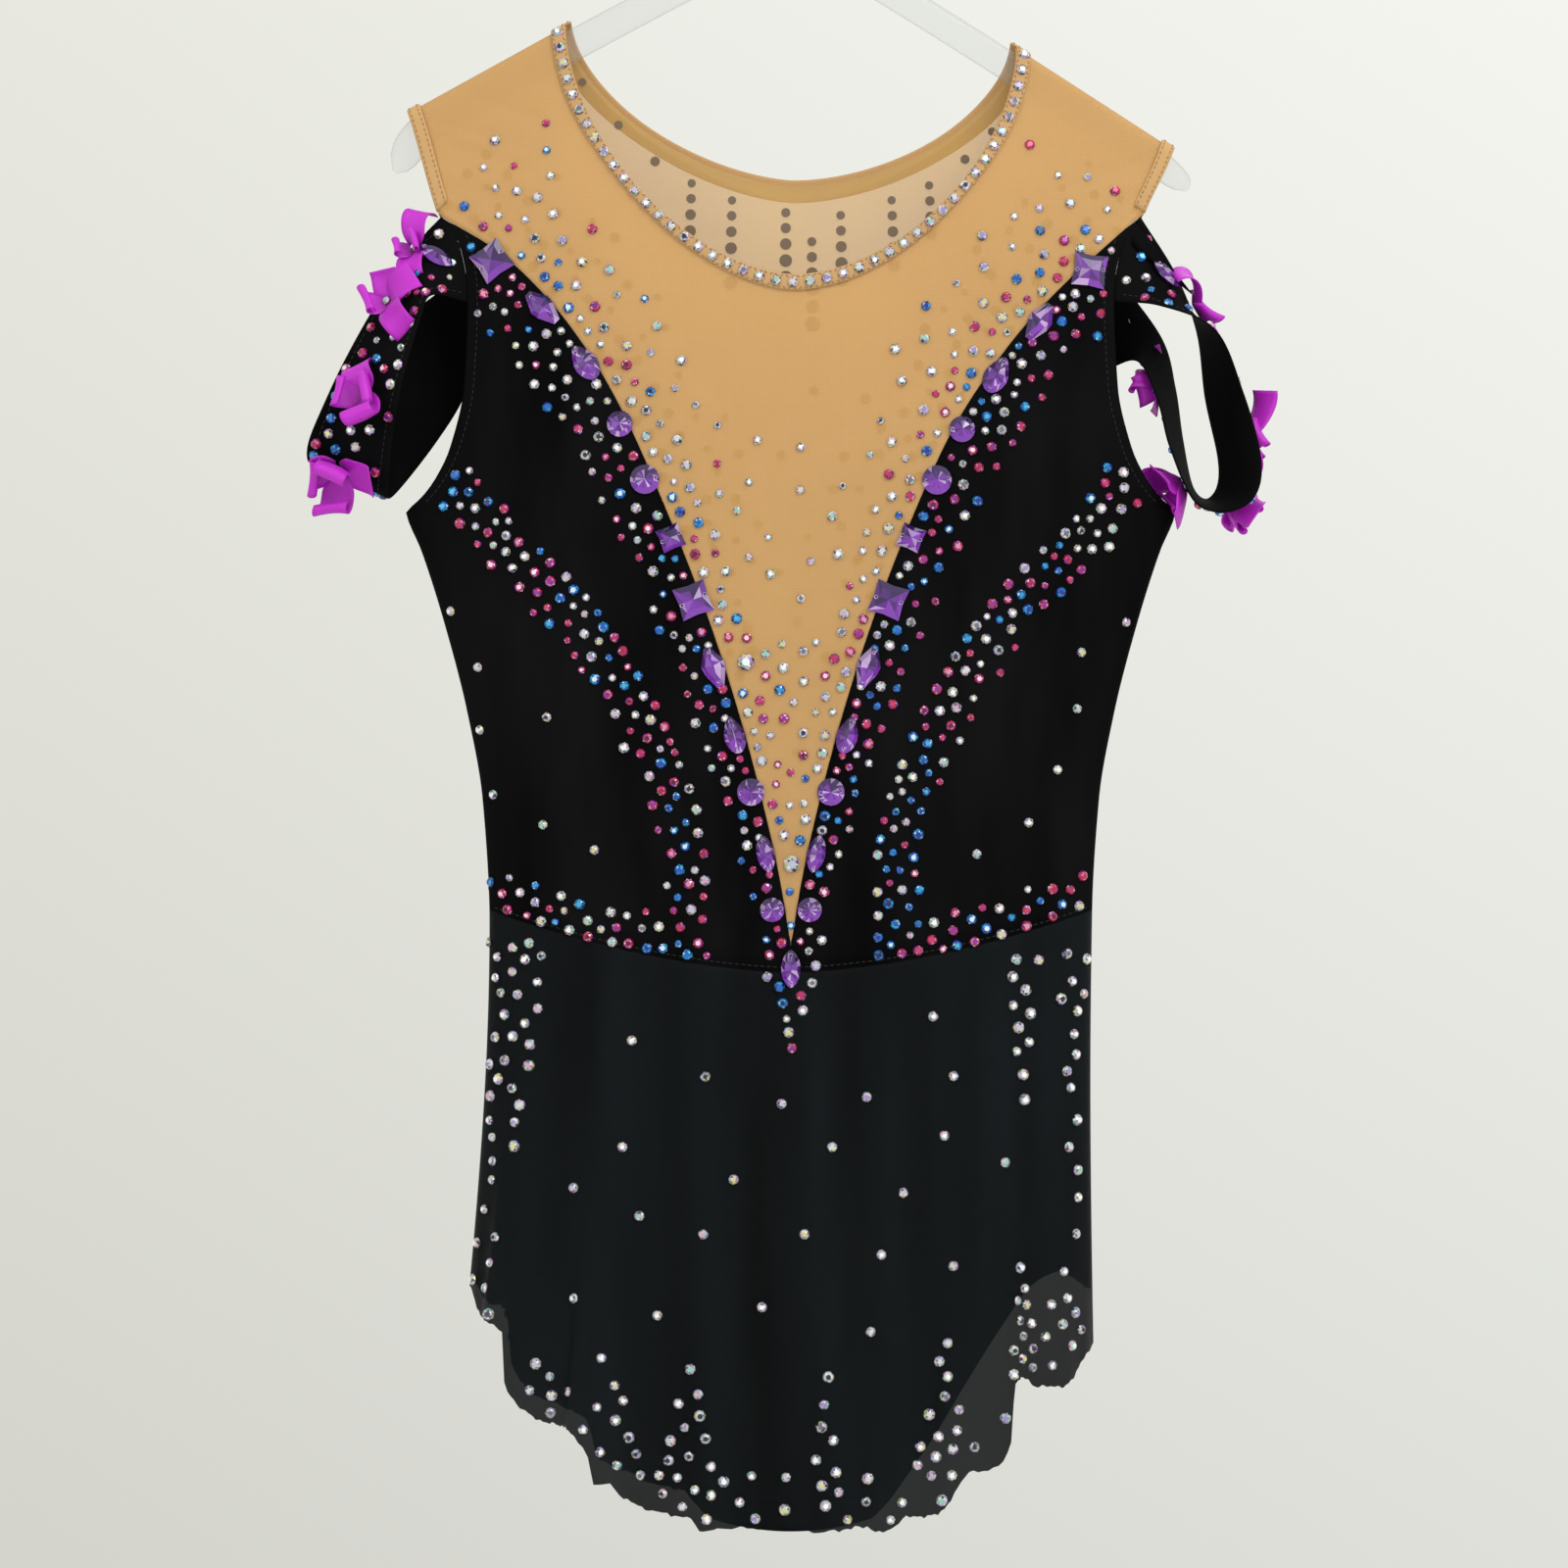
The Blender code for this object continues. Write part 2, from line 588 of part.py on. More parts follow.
def skirt_grid(face, folds, hem_table, columns):
    """One half of the skirt, with its folds, and its raw hem ruffled a little."""
    hem = smooth_curve(hem_table, HEM_COLUMNS, "across", "drop")
    side = side_bearing(LEG_LINE[0][0])
    angle = side * seam_to_seam(columns)[None, :]
    start = WAIST_HALF * np.sign(angle) * np.abs(np.sin(angle)) ** (2 / TUBE_POWER)
    part = np.linspace(0, 1, SKIRT_ROWS + 1)[:, None] ** 0.9
    top = waist_drop(start) + WAIST_GAP - SEAM_GAP / 2
    wave = math.pi * RUFFLE_WAVES * (angle / side + 1)
    drop = top + part * (hem(start) + RUFFLE_DROP * np.sin(wave) - top)
    across, _, y = on_tube(angle, drop, 1)
    strength = part**FOLD_GROWTH
    middle = np.abs(np.cos(angle)) ** 0.5
    for fold in rows_of(folds, FOLD_COLUMNS):
        off_crest = (start - fold["across"]) / fold["width"]
        bump = np.exp(-(off_crest**2)) * strength * middle
        y = y + fold["out"] * bump
        across = across + fold["lean"] * bump
    across = across - SWAY * (1 - start / WAIST_HALF) * strength
    to_hem = hem(start) - drop
    ruffle = RUFFLE_OUT * np.clip(1 - to_hem / RUFFLE_SPAN, 0, 1) ** 2 * middle
    y = y + ruffle * np.cos(wave)
    return hung(across, drop, face * np.maximum(y, SEAM_GAP / 2))


# Arm bands


def band_end(side, end, over):
    """The band's front or back end, along the bodice's armhole and a gap off it."""
    face, high, low = BAND_ENDS[end]
    drop = high + (low - high) * np.asarray(over, float)
    across = armhole_across(drop) + BAND_SEAM
    return hung(*on_tube(side * bearing(across, drop), drop, face))


def band_edges(side):
    """The band's two edges as rows of points, from the front bodice to the back one."""
    free = []
    for row in rows_of(LEFT_BAND if side == LEFT else RIGHT_BAND, BAND_COLUMNS):
        free.append([(row[edge + "_across"] + MIDDLE_X, row[edge + "_y"], -row[edge + "_drop"])
                     for edge in ("in", "out")])
    first, last = (band_end(side, end, (0, 1))[None] for end in (0, 1))
    return np.concatenate([first, np.array(free) * MM, last])


def flowing(points, at):
    """Points on a smooth curve through rows of points, at parts from 0 to 1 of the rows."""
    count = len(points) - 1
    place = np.clip(np.asarray(at, float), 0, 1) * count
    i = np.minimum(place.astype(int), count - 1)
    t = (place - i).reshape(-1, *[1] * (points.ndim - 1))
    slope = np.gradient(points, axis=0)
    a, b, m, n = points[i], points[i + 1], slope[i], slope[i + 1]
    start = (a * (1 + 2 * t) + m * t) * (1 - t) ** 2
    return start + (b * (3 - 2 * t) + n * (t - 1)) * t**2


def band_points(side, around, over):
    """Places on a band's outer face: around from front to back, over from edge to edge."""
    rows = band_edges(side)
    edges = flowing(rows, around)
    part = np.asarray(over, float)[None, :, None]
    points = edges[:, :1] * (1 - part) + edges[:, 1:] * part
    last = 1 / (len(rows) - 1)
    for end, line in ((0, 0), (1, -1)):
        curved = band_end(side, end, over)
        straight = rows[line][None, 0] * (1 - part[0]) + rows[line][None, 1] * part[0]
        near = np.clip(1 - np.abs(np.asarray(around) - end) / last, 0, 1)[:, None, None]
        points = points + (curved - straight) * near
    return points


def band_frame(side, around, over):
    """A place on a band with the directions along it, across it and out of it."""
    step = 0.01
    place = band_points(side, [around], [over])[0, 0]
    ahead = band_points(side, [around + step], [over])[0, 0]
    behind = band_points(side, [around - step], [over])[0, 0]
    edges = band_points(side, [around], [0, 1])[0]
    along = Vector(ahead - behind).normalized()
    out = along.cross(Vector(edges[1] - edges[0]))
    middle = band_points(side, np.linspace(0, 1, 12), [0.5])[:, 0].mean(axis=0)
    if out.dot(Vector(place - middle)) < 0:
        out.negate()
    out.normalize()
    return Vector(place), along, out.cross(along), out


def body_frame(across, drop):
    """A place on the front of the body with its directions aside, down and out."""
    step = 2.0
    spots = [(across, drop), (across + step, drop), (across - step, drop),
             (across, drop + step), (across, drop - step)]
    places = []
    for spot in spots:
        places.append(Vector(hung(*on_tube(bearing(*spot), np.float64(spot[1]), FRONT))))
    aside = (places[1] - places[2]).normalized()
    down = (places[3] - places[4]).normalized()
    out = aside.cross(down)
    if out.y > 0:
        out.negate()
    out.normalize()
    return places[0], aside, out.cross(aside), out


# Stones and flowers


def outline_of(kind, length, width):
    """The girdle of a sew-on stone: its outline from above, long way up."""
    if kind == "square":
        return [(-width / 2, -length / 2), (width / 2, -length / 2),
                (width / 2, length / 2), (-width / 2, length / 2)]
    if kind == "kite":
        half = [(0.0, -0.52), (0.5, -0.02), (0.34, 0.34), (0.0, 0.48)]
        other = [(-wide, high) for wide, high in half[2:0:-1]]
        return [(width * wide, length * high) for wide, high in half + other]
    points = []
    for k in range(GEM_SIDES[kind]):
        a = 2 * math.pi * k / GEM_SIDES[kind] + math.pi / 2
        wide = math.cos(a)
        if kind == "navette":
            wide *= abs(math.cos(a)) ** NAVETTE_PINCH
        if kind == "drop":
            wide *= 1 - DROP_PINCH * max(math.sin(a), 0)
        points.append((width / 2 * wide, length / 2 * math.sin(a)))
    return points


def stone(name, frame, shape, turn, finish, clear):
    """A faceted sew-on stone with a flat back, a girdle and a small table on top."""
    place, aside, up, out = frame
    kind, length, width = shape
    ring = outline_of(kind, length, width)
    spin = Matrix.Rotation(math.radians(turn), 2)
    ring = [spin @ Vector(point) for point in ring]
    levels = [(clear, GEM_BASE), (clear + GEM_EDGE, 1.0), (clear + GEM_HIGH, GEM_TABLE)]
    shell = bmesh.new()
    rings = []
    for high, scale in levels:
        spots = [place + (aside * p.x * scale + up * p.y * scale + out * high) * MM for p in ring]
        rings.append([shell.verts.new(spot) for spot in spots])
    count = len(ring)
    for low, high in zip(rings, rings[1:]):
        for k in range(count):
            shell.faces.new((low[k], low[(k + 1) % count], high[(k + 1) % count], high[k]))
    shell.faces.new(rings[0][::-1])
    shell.faces.new(rings[-1])
    bmesh.ops.recalc_face_normals(shell, faces=shell.faces)
    mesh = bpy.data.meshes.new(name)
    shell.to_mesh(mesh)
    shell.free()
    add_object(name, mesh, finish)


def stone_clearance(across, drop, reach):
    """How high a flat-backed stone stands so that its rim clears the curved cloth."""
    place, aside, up, out = body_frame(across, drop)
    highest = 0.0
    for a in np.linspace(0, 2 * math.pi, 8, endpoint=False):
        spot = (across + reach * math.cos(a), drop + reach * math.sin(a))
        rim = Vector(hung(*on_tube(bearing(*spot), np.float64(spot[1]), FRONT)))
        highest = max(highest, (rim - place).dot(out) / MM)
    return highest + SEAM_GAP


def body_stone(name, side, gem, finish):
    """A sew-on stone of the table on the front of the body, mirrored on the left."""
    across, drop = side * gem["across"], gem["drop"]
    clear = stone_clearance(across, drop, gem["length"] / 2)
    shape = (gem["kind"], gem["length"], gem["width"])
    stone(name, body_frame(across, drop), shape, -side * gem["turn"], finish, clear)


def make_stones(finish):
    for side, word in SIDES:
        for number, gem in enumerate(rows_of(GEM_PAIRS, GEM_COLUMNS), 1):
            body_stone(f"stone_{word}_{number:02d}", side, gem, finish)
        around, over, turn = BAND_GEM_PLACE[side]
        frame = band_frame(side, around, over)
        stone(f"stone_{word}_00", frame, BAND_GEM, turn, finish, BAND_GEM_CLEAR)
    body_stone("stone_middle", RIGHT, rows_of([MIDDLE_GEM], GEM_COLUMNS)[0], finish)


def flower(name, frame, size, turn, finish):
    """A ribbon flower as one cupped sheet of lobes, standing on its band."""
    place, along, over, out = frame
    count = 3 * FLOWER_PETALS
    angles = np.linspace(0, 2 * math.pi, count, endpoint=False)
    wave = np.abs(np.cos(FLOWER_PETALS / 2 * angles)) ** 0.8
    lobe = FLOWER_NOTCH + (1 - FLOWER_NOTCH) * wave
    angles += math.radians(turn)
    sheet = bmesh.new()
    rings = []
    for part in FLOWER_RINGS:
        rise = part**CUP_POWER - FLOWER_RINGS[0] ** CUP_POWER
        high = SEAM_GAP + FLOWER_WALL + FLOWER_CUP * size * rise * (0.4 + 0.6 * lobe)
        spots = []
        for a, petal, stand in zip(angles, lobe, high):
            reach = size / 2 * part * (0.5 + 0.5 * petal if part < 0.5 else petal)
            spots.append(place + (along * math.cos(a) * reach + over * math.sin(a) * reach
                                  + out * float(stand)) * MM)
        rings.append([sheet.verts.new(spot) for spot in spots])
    sheet.faces.new(rings[0])
    for low, high in zip(rings, rings[1:]):
        for k in range(count):
            sheet.faces.new((low[k], low[(k + 1) % count], high[(k + 1) % count], high[k]))
    bmesh.ops.recalc_face_normals(sheet, faces=sheet.faces)
    if sheet.faces[:][0].normal.dot(out) < 0:
        bmesh.ops.reverse_faces(sheet, faces=sheet.faces)
    mesh = bpy.data.meshes.new(name)
    sheet.to_mesh(mesh)
    sheet.free()
    mesh.shade_smooth()
    made = add_object(name, mesh, finish)
    solid = made.modifiers.new("ribbon", "SOLIDIFY")
    solid.thickness = FLOWER_WALL * MM
    solid.offset = -1


def make_flowers(finish):
    for (side, word), table in zip(SIDES, (LEFT_FLOWERS, RIGHT_FLOWERS)):
        for number, row in enumerate(rows_of(table, FLOWER_COLUMNS), 1):
            frame = band_frame(side, row["round"], row["over"])
            flower(f"flower_{word}_{number}", frame, row["size"], row["turn"], finish)


# Hanger


def arm_line(count):
    """The middle line of the hanger's arms, from the left tip over the top to the right."""
    across = np.linspace(-ARM_HALF_SPAN, ARM_HALF_SPAN, count)
    drop = ARM_LINE_TOP + SHOULDER_SLOPE * np.hypot(across, ARM_ROUND_APEX)
    drop += ARM_BEND * np.maximum(np.abs(across) - ARM_BEND_FROM, 0) ** 2
    return np.stack([across, drop], axis=1)


def make_hanger(finish):
    """Clear arms of a rounded section along their middle line, and the boss of the hook."""
    line = arm_line(ARM_STATIONS)
    along = np.gradient(line, axis=0)
    along /= np.linalg.norm(along, axis=1, keepdims=True)
    end_taper = np.ones(len(line))
    end_taper[[0, -1]], end_taper[[1, -2]] = ARM_TIP
    turn = np.linspace(0, 2 * math.pi, ARM_SIDES, endpoint=False)
    high = ARM_HALF_HEIGHT * np.sign(np.cos(turn)) * np.abs(np.cos(turn)) ** (2 / ARM_POWER)
    thick = ARM_HALF_THICK * np.sign(np.sin(turn)) * np.abs(np.sin(turn)) ** (2 / ARM_POWER)
    high, thick = high * end_taper[:, None], thick * end_taper[:, None]
    across = line[:, :1] + high * along[:, 1:]
    drop = line[:, 1:] - high * along[:, :1]
    points = hung(across, drop, thick)
    shell = bmesh.new()
    rings = [[shell.verts.new(point) for point in ring] for ring in points]
    for one, two in zip(rings, rings[1:]):
        for k in range(ARM_SIDES):
            after = (k + 1) % ARM_SIDES
            shell.faces.new((one[k], one[after], two[after], two[k]))
    shell.faces.new(rings[0][::-1])
    shell.faces.new(rings[-1])
    bmesh.ops.recalc_face_normals(shell, faces=shell.faces)
    mesh = bpy.data.meshes.new("hanger_arms")
    shell.to_mesh(mesh)
    shell.free()
    mesh.shade_smooth()
    arms = add_object("hanger_arms", mesh, finish)
    bpy.ops.mesh.primitive_cylinder_add(
        vertices=16, radius=BOSS_RADIUS * MM, depth=(BOSS_BOTTOM - BOSS_TOP) * MM,
        location=(MIDDLE_X * MM, 0, -(BOSS_TOP + BOSS_BOTTOM) / 2 * MM))
    boss = bpy.context.object
    boss.name = "boss_shape"
    for collection in boss.users_collection:
        collection.objects.unlink(boss)
    bpy.data.collections["cutters"].objects.link(boss)
    boss.hide_render, boss.display_type = True, "WIRE"
    join = arms.modifiers.new("boss", "BOOLEAN")
    join.operation, join.object = "UNION", boss


def make_hook(finish):
    """A wire hook: a stem from the boss, swept to one side and over in a round."""
    middle = HOOK_INNER + HOOK_WIRE
    points = [(0, -(BOSS_TOP - SEAM_GAP)), (0, -(BOSS_TOP + HOOK_STEM_TOP) / 2), *HOOK_SWEEP]
    for degrees in range(HOOK_FROM, HOOK_TO, HOOK_STEP):
        a = math.radians(degrees)
        points.append((middle * math.cos(a), middle * math.sin(a) - HOOK_INNER))
    curve = bpy.data.curves.new("hanger_hook", "CURVE")
    curve.dimensions = "3D"
    curve.bevel_depth = HOOK_WIRE * MM
    curve.bevel_resolution = 2
    curve.use_fill_caps = True
    line = curve.splines.new("POLY")
    line.points.add(len(points) - 1)
    for point, (x, z) in zip(line.points, points):
        spot = Matrix.Rotation(-HOOK_LEAN, 2) @ Vector((x, z))
        point.co = (spot.x * MM, 0, spot.y * MM, 1)
    add_object("hanger_hook", curve, finish)


def start_clean():
    for old in list(bpy.data.objects):
        bpy.data.objects.remove(old)
    for name in (OBJECT_NAME, "cutters"):
        made = bpy.data.collections.new(name)
        bpy.context.scene.collection.children.link(made)


def main():
    start_clean()
    nude = material("nude mesh", NUDE, 0.7, alpha=0.9)
    nude_trim = material("nude binding", NUDE, 0.6)
    black = material("black lycra", BLACK, 0.55)
    sheer = material("sheer black mesh", SHEER, 0.6, alpha=0.9)
    violet = material("violet crystal", (0.25, 0.04, 0.60), 0.08)
    magenta = material("magenta ribbon", (0.52, 0.02, 0.60), 0.55)
    clear = material("clear plastic", (0.9, 0.92, 0.93), 0.05, alpha=0.35)
    metal = material("polished metal", (0.75, 0.75, 0.77), 0.15, metallic=1.0)
    for face, word in ((FRONT, "front"), (BACK, "back")):
        make_yoke(f"{word}_yoke", face, nude)
        make_neck_binding(f"neck_binding_{word}", face, nude_trim)
        for side, hand in SIDES:
            cloth(f"{word}_bodice_{hand}", bodice_grid(side, face), black)
        cloth(f"brief_{word}", brief_grid(face), black)
    cloth("gusset", gusset_grid(), black, inside=np.array([MIDDLE_X, 0, -CROTCH_DROP]) * MM)
    cloth("skirt_front", skirt_grid(FRONT, FRONT_FOLDS, FRONT_HEM, FRONT_COLUMNS), sheer)
    cloth("skirt_back", skirt_grid(BACK, BACK_FOLDS, BACK_HEM, BACK_COLUMNS), sheer)
    for side, hand in SIDES:
        make_arm_binding(f"armhole_binding_{hand}", side, nude_trim)
        around, over = (np.linspace(0, 1, steps + 1) for steps in BAND_STEPS)
        band = band_points(side, around, over)
        cloth(f"arm_band_{hand}", band, black, inside=band.reshape(-1, 3).mean(axis=0))
    make_stones(violet)
    make_flowers(magenta)
    make_hanger(clear)
    make_hook(metal)


main()
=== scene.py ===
"""Looks of a rhythmic gymnastics leotard that hangs on a clear hanger.

Sizes are in millimetres until a mesh is made. A place on the garment is (across, drop):
across runs right from the garment's middle line, and drop runs down from the inner top of
the hanger's hook, which is the origin. The front of the garment faces -Y.
"""

import logging
import math
from dataclasses import dataclass, field, replace
from enum import Enum
from typing import Callable, Sequence

import bmesh
import bpy
import numpy as np
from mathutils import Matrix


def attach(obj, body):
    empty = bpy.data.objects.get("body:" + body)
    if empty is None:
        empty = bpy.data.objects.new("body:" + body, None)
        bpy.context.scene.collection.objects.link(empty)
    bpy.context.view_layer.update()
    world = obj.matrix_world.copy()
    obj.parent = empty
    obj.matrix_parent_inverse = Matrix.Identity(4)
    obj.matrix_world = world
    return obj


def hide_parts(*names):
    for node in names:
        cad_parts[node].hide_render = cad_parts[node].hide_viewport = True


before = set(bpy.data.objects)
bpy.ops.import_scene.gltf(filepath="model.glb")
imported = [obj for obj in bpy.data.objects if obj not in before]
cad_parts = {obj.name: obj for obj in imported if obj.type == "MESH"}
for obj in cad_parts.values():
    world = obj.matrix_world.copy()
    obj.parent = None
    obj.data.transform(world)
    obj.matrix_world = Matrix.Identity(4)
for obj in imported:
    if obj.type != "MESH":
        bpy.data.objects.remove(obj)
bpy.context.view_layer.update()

Array = np.ndarray
Colour = tuple[float, float, float]
Surface = Callable[[Array, Array], Array]

MM = 0.001
LOG = logging.getLogger("leotard")
HOLE_FROM = 0.55
RIB_PITCH = 0.0006


class Side(Enum):
    """A side of the garment, whose value is the sign of its axis."""

    @property
    def word(self) -> str:
        """The word for it in a node's name."""
        return self.name.lower()


class Face(Side):
    """The front or the back, with the sign of its Y."""

    FRONT = -1
    BACK = 1

    @property
    def out(self) -> Array:
        """The way that it faces."""
        return np.array([0.0, float(self.value), 0.0])


class Hand(Side):
    """The left or the right as the viewer sees it, with the sign of X."""

    LEFT = -1
    RIGHT = 1


class Tint(Enum):
    """The colours that the small stones come in."""

    CRYSTAL = 0
    FUCHSIA = 1
    BLUE = 2


# Plain shapes and curves


@dataclass(frozen=True)
class Curve:
    """A curve y(x) through its rows that never overshoots them (cubic, level at peaks)."""

    rows: tuple[tuple[float, float], ...]

    def __call__(self, x: Array) -> Array:
        """Reads the curve.

        Args:
            x: Where to read it; outside the rows it keeps the end's value.

        Returns:
            The heights there.
        """
        xs, ys = np.array(self.rows, float).T
        steps = np.diff(ys) / np.diff(xs)
        slopes = np.concatenate([steps[:1], np.zeros(len(xs) - 2), steps[-1:]])
        same = steps[:-1] * steps[1:] > 0
        both = np.where(same, steps[:-1] + steps[1:], 1)
        slopes[1:-1] = np.where(same, 2 * steps[:-1] * steps[1:] / both, 0)
        x = np.clip(np.asarray(x, float), xs[0], xs[-1])
        i = np.clip(np.searchsorted(xs, x, side="right") - 1, 0, len(xs) - 2)
        span = xs[i + 1] - xs[i]
        t = (x - xs[i]) / span
        start = ys[i] * (1 + 2 * t) + slopes[i] * span * t
        end = ys[i + 1] * (3 - 2 * t) + slopes[i + 1] * span * (t - 1)
        return start * (1 - t) ** 2 + end * t**2


def eased(t: Array) -> Array:
    """0 to 1 with level ends, for t from 0 to 1."""
    t = np.clip(t, 0, 1)
    return t * t * (3 - 2 * t)


def unit(vectors: Array) -> Array:
    """The vectors at length one."""
    return vectors / np.maximum(np.linalg.norm(vectors, axis=-1, keepdims=True), 1e-12)


def evenly(points: Array, count: int) -> Array:
    """Points spaced evenly along a line.

    Args:
        points: The line's own points, one a row.
        count: How many steps to take along it.

    Returns:
        count + 1 points, read from the line at equal lengths.
    """
    points = np.asarray(points, float)
    along = np.concatenate([[0], np.cumsum(np.linalg.norm(np.diff(points, axis=0), axis=1))])
    at = np.linspace(0, along[-1], count + 1)
    return np.stack([np.interp(at, along, column) for column in points.T], axis=1)


def shifted(points: Array, distance: Array | float) -> Array:
    """A line of (across, drop) points moved sideways, to +across where it goes down."""
    along = unit(np.gradient(points, axis=0))
    return points + np.asarray(distance)[..., None] * np.stack([along[:, 1], -along[:, 0]], axis=1)


def flowing(points: Array, at: Array) -> Array:
    """Points on a smooth curve through rows of points, at parts from 0 to 1 of the rows."""
    count = len(points) - 1
    place = np.clip(np.asarray(at, float), 0, 1) * count
    i = np.minimum(place.astype(int), count - 1)
    t = (place - i).reshape(-1, *[1] * (points.ndim - 1))
    slope = np.gradient(points, axis=0)
    a, b, m, n = points[i], points[i + 1], slope[i], slope[i + 1]
    start = (a * (1 + 2 * t) + m * t) * (1 - t) ** 2
    return start + (b * (3 - 2 * t) + n * (t - 1)) * t**2


def normals_of(grid: Array) -> Array:
    """Unit normals of a grid of points, as the cross product of its two directions."""
    return unit(np.cross(np.gradient(grid, axis=0), np.gradient(grid, axis=1)))


def facing_out(grid: Array, outward: Array) -> Array:
    """The grid, its columns turned round if its middle doesn't face along outward."""
    normal = normals_of(grid)[grid.shape[0] // 2, grid.shape[1] // 2]
    return grid if normal @ outward > 0 else grid[:, ::-1]


def grid_faces(rows: int, columns: int, first: int = 0, closed: bool = False,
               turned: bool = False) -> Array:
    """Four-sided faces of a grid of points, which may close on itself across its rows.

    Args:
        rows: How many rows of points.
        columns: How many points a row.
        first: The number of the grid's first point.
        closed: Whether the last column joins the first.
        turned: Whether the faces look the other way.

    Returns:
        One face a row, as four point numbers.
    """
    index = np.arange(rows * columns).reshape(rows, columns) + first
    if closed:
        index = np.concatenate([index, index[:, :1]], axis=1)
    corners = (index[:-1, :-1], index[1:, :-1], index[1:, 1:], index[:-1, 1:])
    if turned:
        corners = corners[:1] + corners[:0:-1]
    return np.stack([corner.ravel() for corner in corners], axis=1)


def tube_faces(rings: int, sides: int, first: int = 0) -> list[list[int]]:
    """Faces of rings of points joined one to the next, with a cap at both ends."""
    end = first + rings * sides
    return [*grid_faces(rings, sides, first, closed=True).tolist(),
            list(range(first, first + sides))[::-1], list(range(end - sides, end))]


def full_turn(count: int) -> Array:
    """Angles spaced evenly round a full turn."""
    return 2 * math.pi * np.arange(count) / count


def circles(aside: Array, up: Array, sides: int) -> Array:
    """A circle of radius one for each pair of directions, as a row of points each."""
    turn = full_turn(sides)[None, :, None]
    return np.cos(turn) * aside[:, None] + np.sin(turn) * up[:, None]


def mesh_of(name: str, points: Array, faces: Sequence[Sequence[int]], smooth: bool
            ) -> bpy.types.Mesh:
    """A mesh from points in metres and faces as point numbers."""
    mesh = bpy.data.meshes.new(name)
    mesh.from_pydata(np.asarray(points).reshape(-1, 3).tolist(), [], [list(f) for f in faces])
    mesh.shade_smooth() if smooth else mesh.shade_flat()
    mesh.update()
    return mesh


def paint_faces(mesh: bpy.types.Mesh, colours: Array) -> None:
    """Gives every face its own colour, as a corner attribute that the finish reads."""
    totals = np.empty(len(mesh.polygons), np.int32)
    mesh.polygons.foreach_get("loop_total", totals)
    corners = np.repeat(colours, totals, axis=0)
    rgba = np.concatenate([corners, np.ones((len(corners), 1))], axis=1)
    layer = mesh.color_attributes.new("facet", "FLOAT_COLOR", "CORNER")
    layer.data.foreach_set("color", rgba.astype(np.float32).ravel())


def add_piece(mesh: bpy.types.Mesh, finish: "Finish", *nodes: str) -> bpy.types.Object:
    """Makes a piece of the garment from a mesh, on the one body.

    Args:
        mesh: The finished mesh, with its place in its points.
        finish: What it is made of.
        nodes: The frame's nodes that it stands for.

    Returns:
        The new object.
    """
    mesh.materials.append(finish.material())
    piece = bpy.data.objects.new(mesh.name, mesh)
    bpy.context.scene.collection.objects.link(piece)
    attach(piece, "root")
    if nodes:
        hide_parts(*nodes)
    LOG.info("%s: %d faces", piece.name, len(mesh.polygons))
    return piece


def lay_map(mesh: bpy.types.Mesh, places: Array) -> None:
    """Gives a cloth mesh its own map in metres, from a place on the cloth for each point."""
    corners = np.empty(len(mesh.loops), np.int32)
    mesh.loops.foreach_get("vertex_index", corners)
    layer = mesh.uv_layers.new(name="cloth")
    layer.data.foreach_set("uv", places.reshape(-1, 2)[corners].astype(np.float32).ravel())


def thicken(piece: bpy.types.Object, wall: float, offset: int, even: bool = False) -> None:
    """Gives a piece a wall in millimetres, inwards (offset -1) or about its face (0)."""
    solid = piece.modifiers.new("wall", "SOLIDIFY")
    solid.thickness, solid.offset, solid.use_even_offset = wall * MM, offset, even


def turn_outwards(mesh: bpy.types.Mesh) -> None:
    """Turns every face of a closed mesh outwards."""
    shell = bmesh.new()
    shell.from_mesh(mesh)
    bmesh.ops.recalc_face_normals(shell, faces=shell.faces)
    shell.to_mesh(mesh)
    shell.free()


# Finishes


